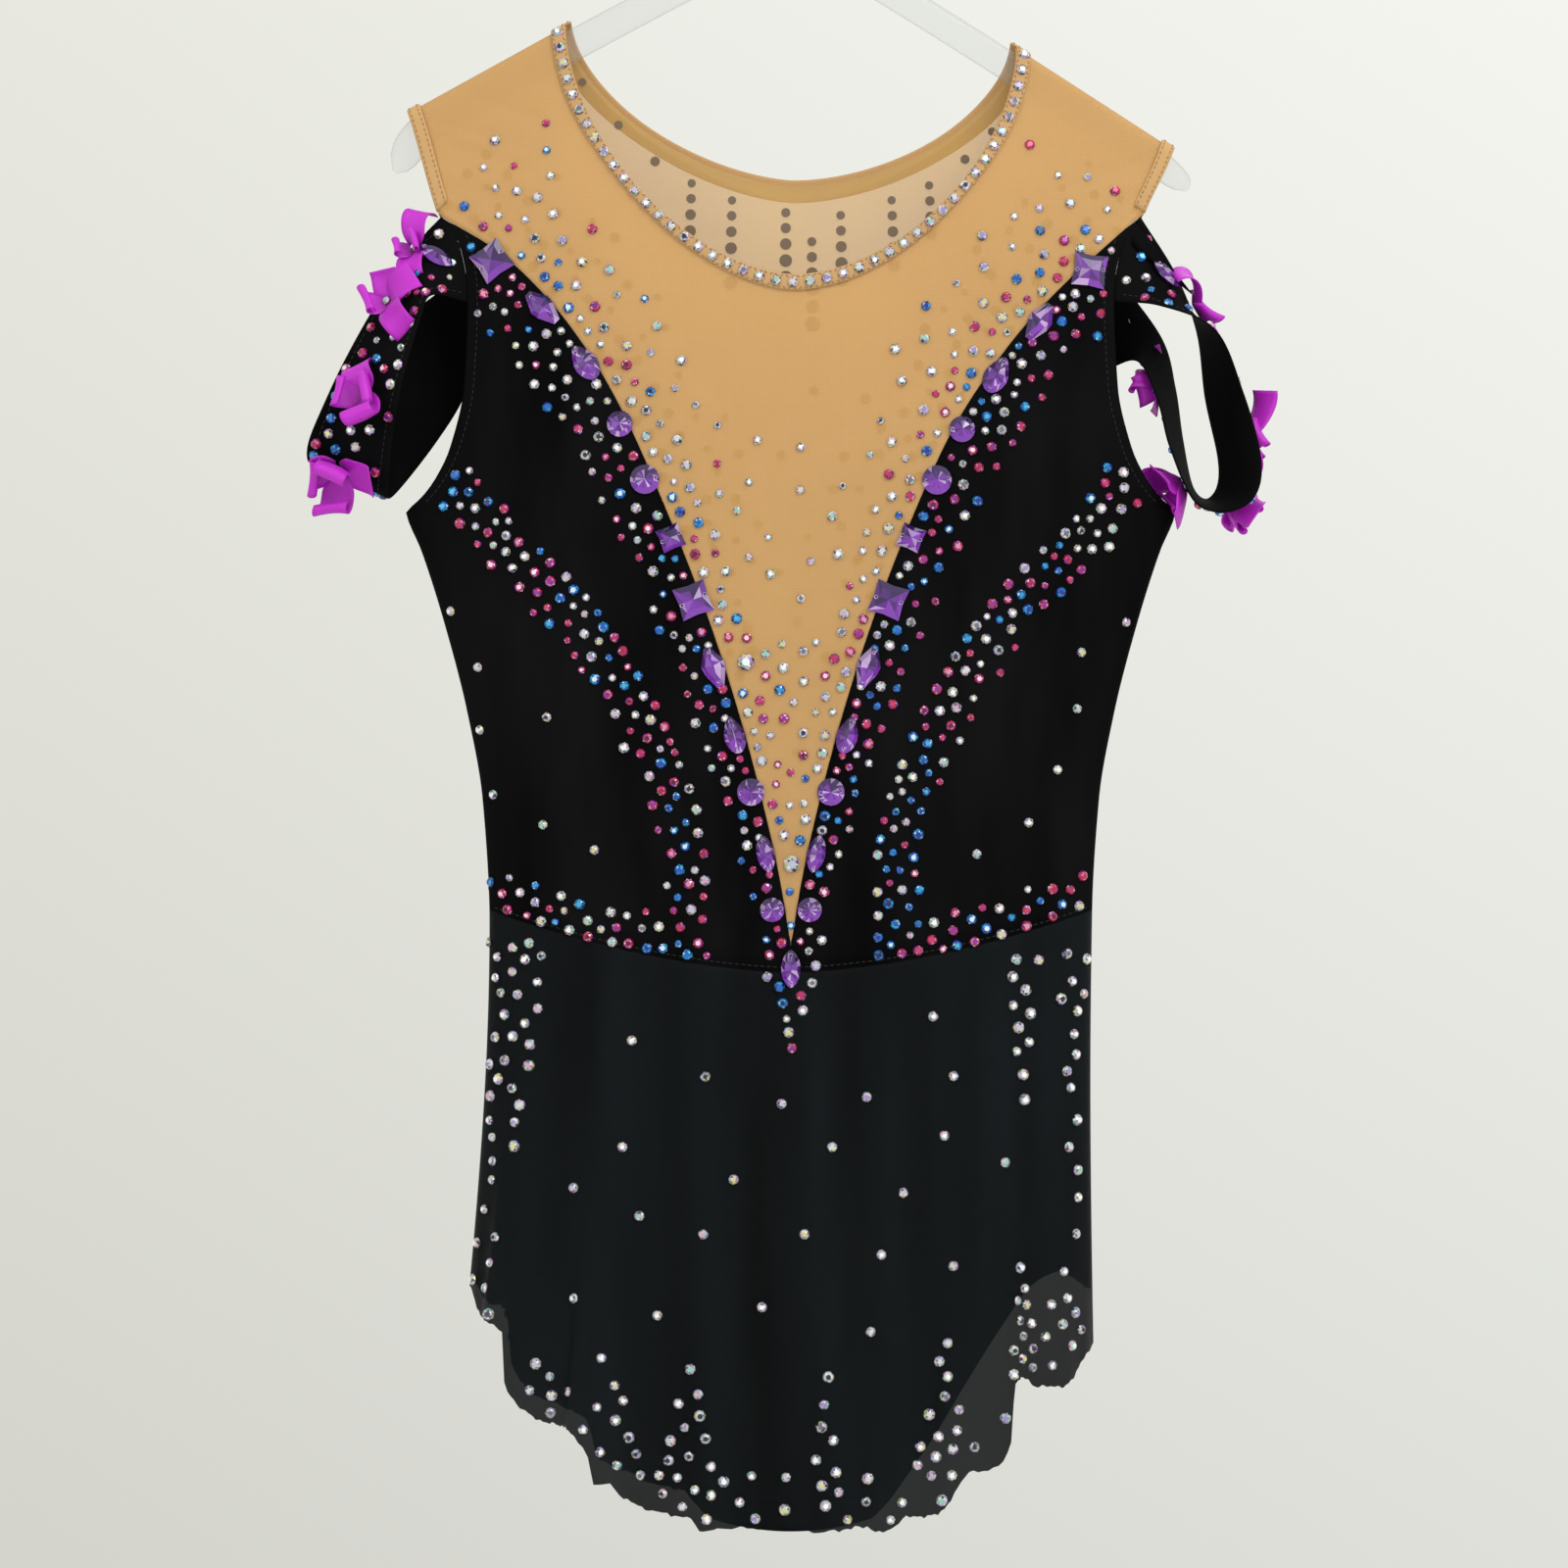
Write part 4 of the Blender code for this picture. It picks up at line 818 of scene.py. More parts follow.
@dataclass(frozen=True)
class SkirtForm:
    """One half of the skirt, as folds on the body's tube that grow towards the hem."""

    face: Face
    hem: Curve
    folds: tuple[Fold, ...]
    hem_half: float = 140.0
    growth: float = 1.5
    sway: float = 4.5
    ruffles: int = 12
    ruffle_out: float = 1.6
    ruffle_drop: float = 0.5
    ruffle_span: float = 40.0
    fine_step: float = 0.7

    def hem_drop(self, start: Array) -> Array:
        """The raw hem: its curve, its ruffles, and a fine unevenness of cut net."""
        wave = math.pi * self.ruffles * (self.bearing(start) / self.side + 1)
        uneven = np.sin(start * 0.83) * np.sin(start * 0.31 + 1) + 0.5 * np.sin(start * 2.1 + 2)
        middle = np.abs(np.cos(self.bearing(start))) ** 0.5
        across = self.hem_half / BODY.waist_half * start
        for fold in self.folds:
            across = across + fold.lean * middle * fold.bell(start)
        across = across - self.sway * (1 - start / BODY.waist_half)
        return self.hem(across) + self.ruffle_drop * np.sin(wave) + self.fine_step * uneven

    @property
    def side(self) -> float:
        """The bearing of the side seam."""
        return float(BODY.side_bearing(703.0))

    def bearing(self, start: Array) -> Array:
        """The bearing of a place by its distance across at the waist."""
        return np.clip(bearing_of(start / BODY.waist_half), -self.side, self.side)

    def top(self, start: Array) -> Array:
        """The top edge, along the waist seam."""
        return BODY.waist_drop(start) + BODY.seam_gap / 2

    def at_part(self, angle: Array, part: Array) -> Array:
        """Points on the outer face, by bearing and part of the way down to the hem.

        Each fold adds a bell of its own height and lean, times a power of the part.

        Args:
            angle: The bearing round the tube.
            part: 0 at the waist seam, 1 at the hem.

        Returns:
            Points in metres.
        """
        start = BODY.waist_half * spread(angle)
        top = self.top(start)
        drop = top + part * (self.hem_drop(start) - top)
        across = BODY.half_width(drop) * spread(angle)
        y = BODY.half_depth(drop) * stand(angle)
        strength = part**self.growth
        middle = np.abs(np.cos(angle)) ** 0.5
        for fold in self.folds:
            bump = fold.bell(start) * strength * middle
            y = y + fold.out * bump
            across = across + fold.lean * bump
        across = across - self.sway * (1 - start / BODY.waist_half) * strength
        near_hem = np.clip(1 - (self.hem_drop(start) - drop) / self.ruffle_span, 0, 1) ** 2
        wave = math.pi * self.ruffles * (angle / self.side + 1)
        y = y + self.ruffle_out * near_hem * middle * np.cos(wave)
        return BODY.hung(across, drop, self.face.value * np.maximum(y, BODY.seam_gap / 2))

    def surface(self) -> Surface:
        """The outer face as a function of (across at the waist, drop)."""
        def read(start: Array, drop: Array) -> Array:
            """Points in metres."""
            top = self.top(start)
            part = np.clip((drop - top) / (self.hem_drop(start) - top), 0, 1)
            return self.at_part(self.bearing(start), part)
        return read


FRONT_SKIRT = SkirtForm(
    Face.FRONT,
    Curve(((-149, 715), (-142, 728), (-132.5, 733), (-131, 757), (-128, 764), (-122, 771),
           (-114, 774.5), (-103.5, 777), (-94.5, 785), (-91, 793), (-90, 803), (-83, 802),
           (-76, 809), (-64, 815), (-46, 817), (-40, 823.5), (-20, 823), (20, 823),
           (34, 822.6), (40, 825), (46, 822), (52, 817), (66, 817), (73, 809), (77, 802),
           (82, 797), (90, 795.6), (96, 792), (100.5, 782), (102, 757), (107, 755),
           (112.5, 759), (122, 760), (128, 757), (132, 752), (135, 747), (140, 742))),
    (Fold(-124, 8.5, 7.5, -9.5), Fold(-84, 9.0, 6.0, -9.5), Fold(-42, 14.0, 3.5, 0.0),
     Fold(18, 13.0, 5.0, 2.0), Fold(64, 13.0, 3.0, 0.0), Fold(94, 9.0, 6.5, 10.0),
     Fold(124, 9.0, 4.5, 3.0)))
BACK_SKIRT = SkirtForm(
    Face.BACK,
    Curve(((-149, 712), (-142, 724), (-133, 730), (-130.5, 754), (-122, 769), (-104, 776),
           (-95, 783.5), (-90, 800), (-76, 807), (-62, 814), (-45, 816), (-4.5, 821),
           (37, 818), (51, 803), (63.6, 782), (86, 750), (104.6, 724), (124.5, 711), (140, 718))),
    (Fold(-112, 10.0, 6.0, -6.0), Fold(-66, 13.0, 4.5, -3.0), Fold(-20, 14.0, 4.0, 0.0),
     Fold(30, 13.0, 5.0, 3.0), Fold(78, 12.0, 4.0, 0.0), Fold(116, 9.0, 6.5, 6.0)))


BAND_LENGTH = 240.0
BAND_WIDTH = 38.0


@dataclass(frozen=True)
class BandForm:
    """An arm band: its shoulder-side and hand-side edges as (across, drop, y), front to back."""

    hand: Hand
    inner: tuple[tuple[float, float, float], ...]
    outer: tuple[tuple[float, float, float], ...]
    ends: tuple[tuple[Face, float, float], ...] = ((Face.FRONT, 221.5, 261.0),
                                                   (Face.BACK, 243.0, 288.0))
    seam: float = 0.05

    def end_line(self, end: int, over: Array) -> Array:
        """The band's front or back end, along the bodice's armhole and a gap off it."""
        face, high, low = self.ends[end]
        drop = high + (low - high) * np.asarray(over, float)
        across = self.hand.value * (BODY.armhole(drop) + self.seam)
        return BODY.on_tube(BODY.bearing(across, drop), drop, face)

    def rows(self) -> Array:
        """Both edges as rows of points in metres, ends included."""
        free = np.stack([np.array(self.inner, float), np.array(self.outer, float)], axis=1)
        free = np.stack([free[..., 0] + BODY.middle_x, free[..., 2], -free[..., 1]], axis=-1) * MM
        ends = [self.end_line(end, np.array([0.0, 1.0]))[None] for end in (0, 1)]
        return np.concatenate([ends[0], free, ends[1]])

    def at(self, around: Array, over: Array) -> Array:
        """A grid of points on the outer face.

        Each row runs straight between the two smooth edges; next to the band's ends it
        bends to the armhole's curve.

        Args:
            around: Parts from the front end to the back one.
            over: Parts from the shoulder-side edge to the hand-side one.

        Returns:
            Points in metres, a row for each part around.
        """
        rows = self.rows()
        edges = flowing(rows, around)
        part = np.asarray(over, float)[None, :, None]
        points = edges[:, :1] * (1 - part) + edges[:, 1:] * part
        last = 1 / (len(rows) - 1)
        for end, line in ((0, 0), (1, -1)):
            straight = rows[line][None, 0] * (1 - part[0]) + rows[line][None, 1] * part[0]
            near = np.clip(1 - np.abs(np.asarray(around) - end) / last, 0, 1)[:, None, None]
            points = points + (self.end_line(end, over) - straight) * near
        return points

    def face(self, around: Array, over: Array) -> Array:
        """Single places on the outer face, in millimetres along the band and over it."""
        around = np.clip(np.asarray(around, float) / BAND_LENGTH, 0, 1)
        over = np.clip(np.asarray(over, float) / BAND_WIDTH, 0, 1)
        edges = flowing(self.rows(), around)
        return edges[:, 0] * (1 - over[:, None]) + edges[:, 1] * over[:, None]


LEFT_BAND = BandForm(
    Hand.LEFT,
    ((-172.4, 232.7, -8), (-191, 260.6, -10), (-205, 285.8, -12), (-215, 307.4, -14),
     (-222.3, 325.4, -14), (-223, 334, -6), (-218, 329, 3), (-201, 299, 9), (-181, 267, 12)),
    ((-164.7, 259.2, -28), (-170, 272.3, -32), (-176, 293, -32), (-181.4, 317.3, -27),
     (-185, 341, -20), (-186.8, 350.5, -8), (-182.3, 346.5, 3), (-166, 325, 7),
     (-153.5, 304.2, 12)))
RIGHT_BAND = BandForm(
    Hand.RIGHT,
    ((179, 246.6, 0), (189.5, 272.7, 6), (193.5, 302.9, 8), (199.4, 330.8, 8), (199, 344.5, 8),
     (193.5, 350.5, 9), (187, 344, 10), (182.7, 321.8, 13), (179.5, 297.5, 16),
     (173.3, 273.6, 20)),
    ((169, 264, -30), (194, 275, -29), (207, 302.9, -26), (215.5, 333.5, -25),
     (212.5, 351.5, -24), (199, 358.5, -23), (184.5, 352.8, -22), (173.7, 328, -20),
     (168.8, 307.4, -16), (161, 287.6, -4)))


# Cloth


@dataclass
class Panel:
    """A piece of cloth as a thin shell, from a grid of points on its outer face."""

    name: str
    grid: Array
    outward: Array
    finish: ClothFinish
    flat: tuple[float, float]
    area: float
    rests_on: tuple[str, ...]
    wall: float = 0.7
    even: bool = True

    def build(self) -> None:
        """Makes the shell, its map (world across and height, as it hangs) and its wall."""
        grid = facing_out(self.grid, self.outward)
        mesh = mesh_of(self.name + "_cloth", grid, grid_faces(*grid.shape[:2]), smooth=True)
        lay_map(mesh, grid[..., ::2])
        piece = add_piece(mesh, self.finish, self.name)
        thicken(piece, self.wall, -1, self.even)


def between(start: Array, end: Array, parts: Array) -> tuple[Array, Array]:
    """Places between two lines, even in across and in drop, as bearing and drop."""
    across, drop = (start[:, k][:, None] * (1 - parts) + end[:, k][:, None] * parts
                    for k in (0, 1))
    return BODY.bearing(across, drop), drop


def even_bearing(start: Array, end: Array, parts: Array) -> tuple[Array, Array]:
    """Places between two lines, even in bearing and in drop."""
    angles = []
    for line in (start, end):
        limit = BODY.side_bearing(line[:, 1])
        angles.append(np.clip(BODY.bearing(line[:, 0], line[:, 1]), -limit, limit)[:, None])
    drop = start[:, 1][:, None] * (1 - parts) + end[:, 1][:, None] * parts
    return angles[0] * (1 - parts) + angles[1] * parts, drop


def lift_rows(grid: Array, outward: Array, by: Array) -> Array:
    """A grid moved out along its normals by millimetres, one a column or one a point."""
    normal = normals_of(grid)
    way = np.sign(normal[grid.shape[0] // 2, grid.shape[1] // 2] @ outward)
    return grid + way * np.broadcast_to(by, grid.shape[:2])[..., None] * MM * normal


def bowed(parts: Array) -> Array:
    """The height of a rounded strip over its width: 0 at both edges, 1 in the middle."""
    return 1 - np.abs(2 * parts - 1) ** 4


@dataclass
class Yoke:
    """The nude mesh over both shoulders down to the V's tip, with its neck binding."""

    face: Face
    arm_steps: int = 14
    v_steps: int = 80
    columns: int = 40
    binding_width: float = 7.5
    lift: float = 1.5
    bow: float = 0.5
    over_edge: float = 0.42

    def build(self) -> None:
        """Makes the panel and the binding that lies along its neck edge."""
        word, front = self.face.word, self.face is Face.FRONT
        inner, outer = BODY.yoke_lines(self.face, self.arm_steps, self.v_steps)
        angle, drop = between(inner, outer, np.linspace(0, 1, self.columns + 1))
        Panel(f"{word}_yoke", BODY.on_tube(angle, drop, self.face, YOKE_CREASES), self.face.out,
              NUDE_FRONT if front else NUDE_BACK, (0.355, 0.42), 0.0456 if front else 0.0530,
              ("hanger_arms",)).build()
        Panel(f"neck_binding_{word}", self.binding_grid(np.linspace(0, 1, 9)), self.face.out,
              NUDE_BINDING, (0.29, 0.015), 0.0021, (f"{word}_yoke",), wall=1.1).build()

    def binding_grid(self, parts: Array) -> Array:
        """The binding's outer face: a strip as wide everywhere, rounded at its two edges."""
        inner, outer = BODY.yoke_lines(self.face, self.arm_steps, self.v_steps)
        reach = np.linalg.norm(outer - inner, axis=1)
        over = self.over_edge if self.face is Face.BACK else 0.0
        wide = (parts * (1 + over) - over) * self.binding_width
        angle, drop = between(inner, outer, wide[None] / reach[:, None])
        grid = BODY.on_tube(angle, drop, self.face, YOKE_CREASES)
        return lift_rows(grid, self.face.out, self.lift - self.bow + self.bow * bowed(parts))


@dataclass
class ArmBinding:
    """The nude binding round the mesh part of one armhole."""

    hand: Hand
    width: float = 6.7
    lift: float = 1.5
    bow: float = 0.4
    arm_steps: int = 14
    v_steps: int = 80
    low_rows: int = 5
    low: float = 0.35

    def grid(self, parts: Array) -> Array:
        """Its outer face, from the front corner over the shoulder to the back corner."""
        halves = []
        for face in Face:
            last = len(BODY.shoulder_lip) + self.arm_steps
            inner, outer = (line[:last]
                            for line in BODY.yoke_lines(face, self.arm_steps, self.v_steps))
            reach = np.linalg.norm(outer - inner, axis=1)
            angle, drop = between(inner, outer, 1 - parts * (self.width / reach)[:, None])
            halves.append(BODY.on_tube(self.hand.value * angle, drop, face))
        front, back = halves
        front[0, :, 1] = 0
        grid = np.concatenate([front[::-1], back[1:]])
        row = np.arange(len(grid))
        rise = eased(np.minimum(row, row[::-1]) / self.low_rows)[:, None]
        return lift_rows(grid, np.array([0.0, 0.0, 1.0]), (self.low + (1 - self.low) * rise)
                         * (self.lift - self.bow + self.bow * bowed(parts)))

    def build(self) -> None:
        """Makes the strip."""
        Panel(f"armhole_binding_{self.hand.word}", self.grid(np.linspace(0, 1, 9)),
              np.array([0.0, 0.0, 1.0]), NUDE_BINDING, (0.07, 0.0134), 0.00064,
              ("front_yoke", "back_yoke"), wall=0.9).build()


@dataclass
class Bodice:
    """Half of the black bodice on one face: V, armhole, side seam and waist seam."""

    face: Face
    hand: Hand
    rows_up: int = 36
    rows_down: int = 45
    columns: int = 36
    corner_part: float = 0.25
    corner_clear: float = 0.8

    def grid(self) -> Array:
        """Its outer face, between the V with the middle seam and the armhole with the side."""
        gap = BODY.seam_gap / 2
        coarse = shifted(evenly(BODY.mesh_edge(), 16), gap)
        first = coarse[0] + (coarse[1] - coarse[0]) * self.corner_part + (0, self.corner_clear)
        edge = shifted(BODY.mesh_edge(), gap)
        edge = np.vstack([[first], edge[edge[:, 1] > first[1]]])
        inner = evenly(edge, self.rows_up + self.rows_down - 1)
        inner[:, 0] = np.maximum(inner[:, 0], gap)
        inner = np.vstack([inner, [(gap, BODY.waist_middle - gap)]])
        hole_drop = np.linspace(BODY.v_top + 0.5, BODY.underarm, 400)
        hole = np.stack([BODY.armhole(hole_drop) - gap, hole_drop], axis=1)
        waist_side = BODY.waist_drop(BODY.waist_half) - gap
        side_drop = np.linspace(BODY.underarm, waist_side, self.rows_down + 1)[1:]
        side = np.stack([BODY.half_width(side_drop), side_drop], axis=1)
        outer = np.vstack([evenly(hole, self.rows_up), side])
        angle, drop = even_bearing(inner, outer, np.linspace(0, 1, self.columns + 1))
        across = BODY.half_width(drop) * spread(angle)
        seam_drop = BODY.waist_drop(across[-1]) - gap - drop[-1]
        drop = drop + seam_drop * np.linspace(0, 1, len(drop))[:, None] ** 4
        return BODY.on_tube(self.hand.value * angle, drop, self.face, BODICE_CREASES[self.face])

    def build(self) -> None:
        """Makes the panel."""
        Panel(f"{self.face.word}_bodice_{self.hand.word}", self.grid(), self.face.out,
              BLACK_LYCRA, (0.18, 0.35), 0.0351, (f"{self.face.word}_yoke",)).build()


@dataclass
class Brief:
    """The black brief under the skirt: front, back and the gusset that joins them."""

    half: float = 137.4
    depth: Curve = Curve(((540, 22.3), (640, 22.8), (703, 20.0), (760, 14.0), (812, 8.6)))
    leg: Curve = Curve(((703, 137.4), (712, 113), (730, 99), (757, 82), (784, 66), (812, 47)))
    leg_top: float = 703.0
    crotch: float = 812.0
    gusset_deep: float = 17.7
    gusset_half: float = 37.0
    gusset_curve: float = 6.0
    rows: int = 60
    columns: int = 60

    def grid(self, face: Face) -> Array:
        """The front's or the back's outer face: side seam, then leg line."""
        low = self.crotch - BODY.seam_gap / 2
        leg_drop = np.linspace(self.leg_top, low, 300)
        top = (self.half, float(BODY.waist_drop(BODY.waist_half)) + BODY.waist_gap)
        edge = evenly(np.vstack([top, np.stack([self.leg(leg_drop), leg_drop], axis=1)]), self.rows)
        limit = np.arccos((BODY.waist_gap / self.depth(edge[:, 1])) ** BEARING_POWER)
        widest = np.minimum(bearing_of(edge[:, 0] / self.half), limit)
        angle = widest[:, None] * np.linspace(-1, 1, self.columns + 1)
        across = self.half * spread(angle)
        middle = np.linspace(BODY.waist_middle + BODY.waist_gap, low, self.rows + 1)
        reach = (np.abs(across) / np.maximum(edge[:, :1], 1)) ** BODY.waist_power
        drop = middle[:, None] + (edge[:, 1:] - middle[:, None]) * np.clip(reach, 0, 1)
        depth = self.depth(drop) * stand(angle)
        return BODY.hung(across, drop, face.value * np.maximum(depth, BODY.waist_gap))

    def gusset_grid(self) -> Array:
        """A strip under the crotch, half a turn from the front seam round to the back one."""
        turn = np.linspace(0, math.pi, 25)[:, None]
        part, down = np.linspace(-1, 1, 21), np.sin(turn)
        start, deep = (float(curve(self.crotch)) for curve in (self.leg, self.depth))
        half = start - (start - self.gusset_half) * down
        drop = (self.crotch + BODY.seam_gap / 2 + self.gusset_deep * down
                - self.gusset_curve * down * part**2)
        return BODY.hung(half * part, drop, -deep * np.cos(turn) + 0 * part)

    def build(self) -> None:
        """Makes the three panels."""
        for face in Face:
            Panel(f"brief_{face.word}", self.grid(face), face.out, BLACK_LYCRA,
                  (0.28, 0.27), 0.0593, (f"{face.word}_bodice_left",)).build()
        Panel("gusset", self.gusset_grid(), np.array([0.0, 0.0, -1.0]), BLACK_LYCRA,
              (0.094, 0.044), 0.0030, ("brief_front", "brief_back")).build()


def build_skirt(form: SkirtForm, area: float, rows: int = 110, columns: int = 260) -> None:
    """Makes one half of the sheer skirt, from the waist seam to its raw hem."""
    angle = np.linspace(-form.side, form.side, columns + 1)[None, :]
    grid = form.at_part(angle, np.linspace(0, 1, rows + 1)[:, None])
    Panel(f"skirt_{form.face.word}", grid, form.face.out, BLACK_SHEER, (0.30, 0.28), area,
          (f"brief_{form.face.word}",), wall=0.5).build()


def build_band(form: BandForm, area: float, rows: int = 151, columns: int = 21) -> None:
    """Makes one off-shoulder arm band, from the front bodice round to the back one."""
    grid = form.at(np.linspace(0, 1, rows), np.linspace(0, 1, columns))
    word, middle = form.hand.word, grid[rows // 2, columns // 2]
    Panel(f"arm_band_{word}", grid, middle - grid.reshape(-1, 3).mean(axis=0), BLACK_LYCRA,
          (0.24, 0.038), area, (f"front_bodice_{word}", f"back_bodice_{word}"),
          even=False).build()


# Places on cloth, and the stones glued or sewn there


@dataclass(frozen=True)
class Spots:
    """Places on a surface with their directions aside, along and out, one a row."""

    place: Array
    aside: Array
    along: Array
    out: Array

    @staticmethod
    def on(surface: Surface, first: Array, second: Array, outward: Array, step: float) -> "Spots":
        """Reads a surface and its slopes at many places.

        Args:
            surface: The cloth's outer face.
            first: Its first coordinate, one for each place.
            second: Its second coordinate.
            outward: A direction out of the cloth, or one a place.
            step: How far to move to read the slopes.

        Returns:
            The places.
        """
        place = surface(first, second)
        aside = unit(surface(first + step, second) - surface(first - step, second))
        down = surface(first, second + step) - surface(first, second - step)
        out = unit(np.cross(aside, down))
        out = out * np.where((out * outward).sum(axis=-1, keepdims=True) < 0, -1.0, 1.0)
        return Spots(place, aside, np.cross(out, aside), out)


STONE = 5.0
SMALL_STONE = 3.8


class Scatter:
    """Stones placed at random but apart from each other, on one surface's coordinates."""

    def __init__(self, seed: int) -> None:
        """Starts with no stone."""
        self.random = np.random.default_rng(seed)
        self.kept = np.zeros((0, 3))
        self.stones: list[tuple[float, float, float, Tint]] = []

    def keep_clear(self, across: float, drop: float, reach: float) -> None:
        """Leaves room round a sew-on stone or another thing."""
        self.kept = np.vstack([self.kept, (across, drop, reach)])

    def put(self, across: float, drop: float, size: float, tint: Tint, gap: float) -> None:
        """Places one stone if nothing lies within its gap."""
        apart = np.hypot(self.kept[:, 0] - across, self.kept[:, 1] - drop)
        if (apart >= self.kept[:, 2] + size / 2 + gap).all():
            self.keep_clear(across, drop, size / 2)
            self.stones.append((across, drop, size, tint))

    def throw(self, across: Array, drop: Array, gaps: Array | float, sizes: Array | float,
              tints: Array | Tint = Tint.CRYSTAL) -> None:
        """Tries many places in turn; a gap, size or colour given once is for them all."""
        for row in zip(*np.broadcast_arrays(across, drop, sizes, np.array(tints, object), gaps)):
            self.put(*row)

    def only(self, keep: Callable[[float, float], bool]) -> None:
        """Leaves out the stones whose place isn't one to keep."""
        self.stones = [stone for stone in self.stones if keep(stone[0], stone[1])]

    def rows(self) -> Array:
        """The stones as rows of numbers: across, drop, size and tint."""
        return np.array([(*stone[:3], stone[3].value) for stone in self.stones], float)

    def tints(self, count: int, shares: Sequence[float]) -> Array:
        """Colours drawn at random, by the shares of crystal, fuchsia and blue."""
        picks = self.random.choice(3, size=count, p=np.array(shares) / sum(shares))
        return np.array(list(Tint), object)[picks]

    def sizes(self, count: int, few_small: float = 0.22) -> Array:
        """Sizes drawn at random: mostly regular, some small, with a little spread."""
        base = np.where(self.random.random(count) < few_small, SMALL_STONE, STONE)
        return base * self.random.uniform(0.94, 1.06, count)


@dataclass(frozen=True)
class Belt:
    """A belt of stones along a line: its reach to each side at both ends, and its gaps."""

    line: tuple[tuple[float, float], ...]
    near: tuple[float, float]
    far: tuple[float, float]
    gap: tuple[float, float]
    shares: tuple[float, float, float]
    tries: int
    few_small: float = 0.22

    def fill(self, scatter: Scatter, side: int) -> None:
        """Throws stones: places at random along the line and off it, denser near it."""
        line = evenly(np.array(self.line, float), 60)
        away = unit(np.gradient(line, axis=0))
        across = np.stack([away[:, 1], -away[:, 0]], axis=1)
        random = scatter.random
        row = random.integers(0, len(line), self.tries)
        share = random.random(self.tries) ** 1.15
        jitter = random.uniform(-4, 4, (self.tries, 1)) * away[row]
        down = row / (len(line) - 1)
        near, far = (ends[0] + (ends[1] - ends[0]) * down for ends in (self.near, self.far))
        places = line[row] + (near + (far - near) * share)[:, None] * across[row] + jitter
        gaps = self.gap[0] + (self.gap[1] - self.gap[0]) * share**1.5
        tints = scatter.tints(self.tries, self.shares)
        order = np.argsort(np.where(random.random(self.tries) < 0.6, share, 1.0), kind="stable")
        scatter.throw(side * places[order, 0], places[order, 1], gaps[order],
                      scatter.sizes(self.tries, self.few_small), tints[order])


@dataclass(frozen=True)
class Drip:
    """A narrow triangle of crystals, wide at one drop and pointed at another."""

    across: float
    wide: float
    wide_drop: float
    tip_drop: float
    gap: float = 2.6
    tries: int = 400

    def fill(self, scatter: Scatter) -> None:
        """Throws crystals in the triangle."""
        random = scatter.random
        part = np.sqrt(random.random(self.tries))
        drop = self.tip_drop + (self.wide_drop - self.tip_drop) * part
        across = self.across + random.uniform(-1, 1, self.tries) * (1.2 + self.wide * part)
        scatter.throw(across, drop, self.gap, hem_sizes(random, self.tries))


def hem_sizes(random: np.random.Generator, count: int) -> Array:
    """Sizes of the skirt's crystals, which vary more."""
    return 5.2 * random.uniform(0.85, 1.1, count)


@dataclass(frozen=True)
class StoneCut:
    """The cut of the small round stones: a foil rim, two rings of facets and a flat table."""

    sides: int = 8
    rim_high: float = 0.22
    middle: tuple[float, float] = (0.80, 0.62)
    table: tuple[float, float] = (0.46, 0.86)

    def template(self) -> tuple[Array, list[list[int]]]:
        """Points of a stone of radius 1 and its faces, outwards.

        Rings of points stand at the rim's foot and top, at the middle (turned by half a
        step) and at the table, and triangles join ring to ring.

        Returns:
            The points and the faces.
        """
        n, turn = self.sides, full_turn(self.sides)
        rings = [np.stack([radius * np.cos(turn + shift), radius * np.sin(turn + shift),
                           np.full(n, high)], axis=1)
                 for radius, high, shift in ((0.94, 0.0, 0.0), (1.0, self.rim_high, 0.0),
                                             (*self.middle, math.pi / n), (*self.table, 0.0))]
        faces: list[list[int]] = []
        for k in range(n):
            after = (k + 1) % n
            faces += [[k, after, n + after, n + k], [n + k, n + after, 2 * n + k],
                      [n + after, 2 * n + after, 2 * n + k],
                      [2 * n + k, 2 * n + after, 3 * n + after],
                      [2 * n + k, 3 * n + after, 3 * n + k]]
        faces += [list(range(3 * n, 4 * n)), list(range(n))[::-1]]
        return np.concatenate(rings), faces


# Facet colours of each tint: lit and shaded tones of its hue, dark facets as painted shade, on the
# crystals pastel painted reflections of the coat, and last a pale painted highlight.
PALETTES = {
    Tint.CRYSTAL: ((0.66, 0.66, 0.68), (0.56, 0.52, 0.68), (0.34, 0.25, 0.60),
                   (0.66, 0.63, 0.24), (0.28, 0.60, 0.50), (0.64, 0.36, 0.52),
                   (0.16, 0.16, 0.20), (0.02, 0.02, 0.04), (0.95, 0.95, 0.95)),
    Tint.FUCHSIA: ((0.50, 0.014, 0.085), (0.60, 0.030, 0.140), (0.36, 0.008, 0.050),
                   (0.26, 0.020, 0.320), (0.68, 0.280, 0.430), (0.09, 0.003, 0.030),
                   (0.48, 0.015, 0.110), (0.15, 0.020, 0.300), (0.92, 0.720, 0.820)),
    Tint.BLUE: ((0.004, 0.07, 0.45), (0.006, 0.13, 0.58), (0.010, 0.34, 0.62),
                (0.020, 0.02, 0.28), (0.050, 0.44, 0.70), (0.003, 0.01, 0.06),
                (0.006, 0.10, 0.50), (0.010, 0.14, 0.42), (0.700, 0.86, 0.95)),
}
# The palette's last colour: a pale painted highlight for a stone's table.
PAINTED_HIGHLIGHT = 8
FACET_SHARES = (0.15, 0.14, 0.14, 0.11, 0.11, 0.09, 0.11, 0.11, 0.04)
# How far the rim facets are darkened: painted shade.
RIM_SHADE = 0.30


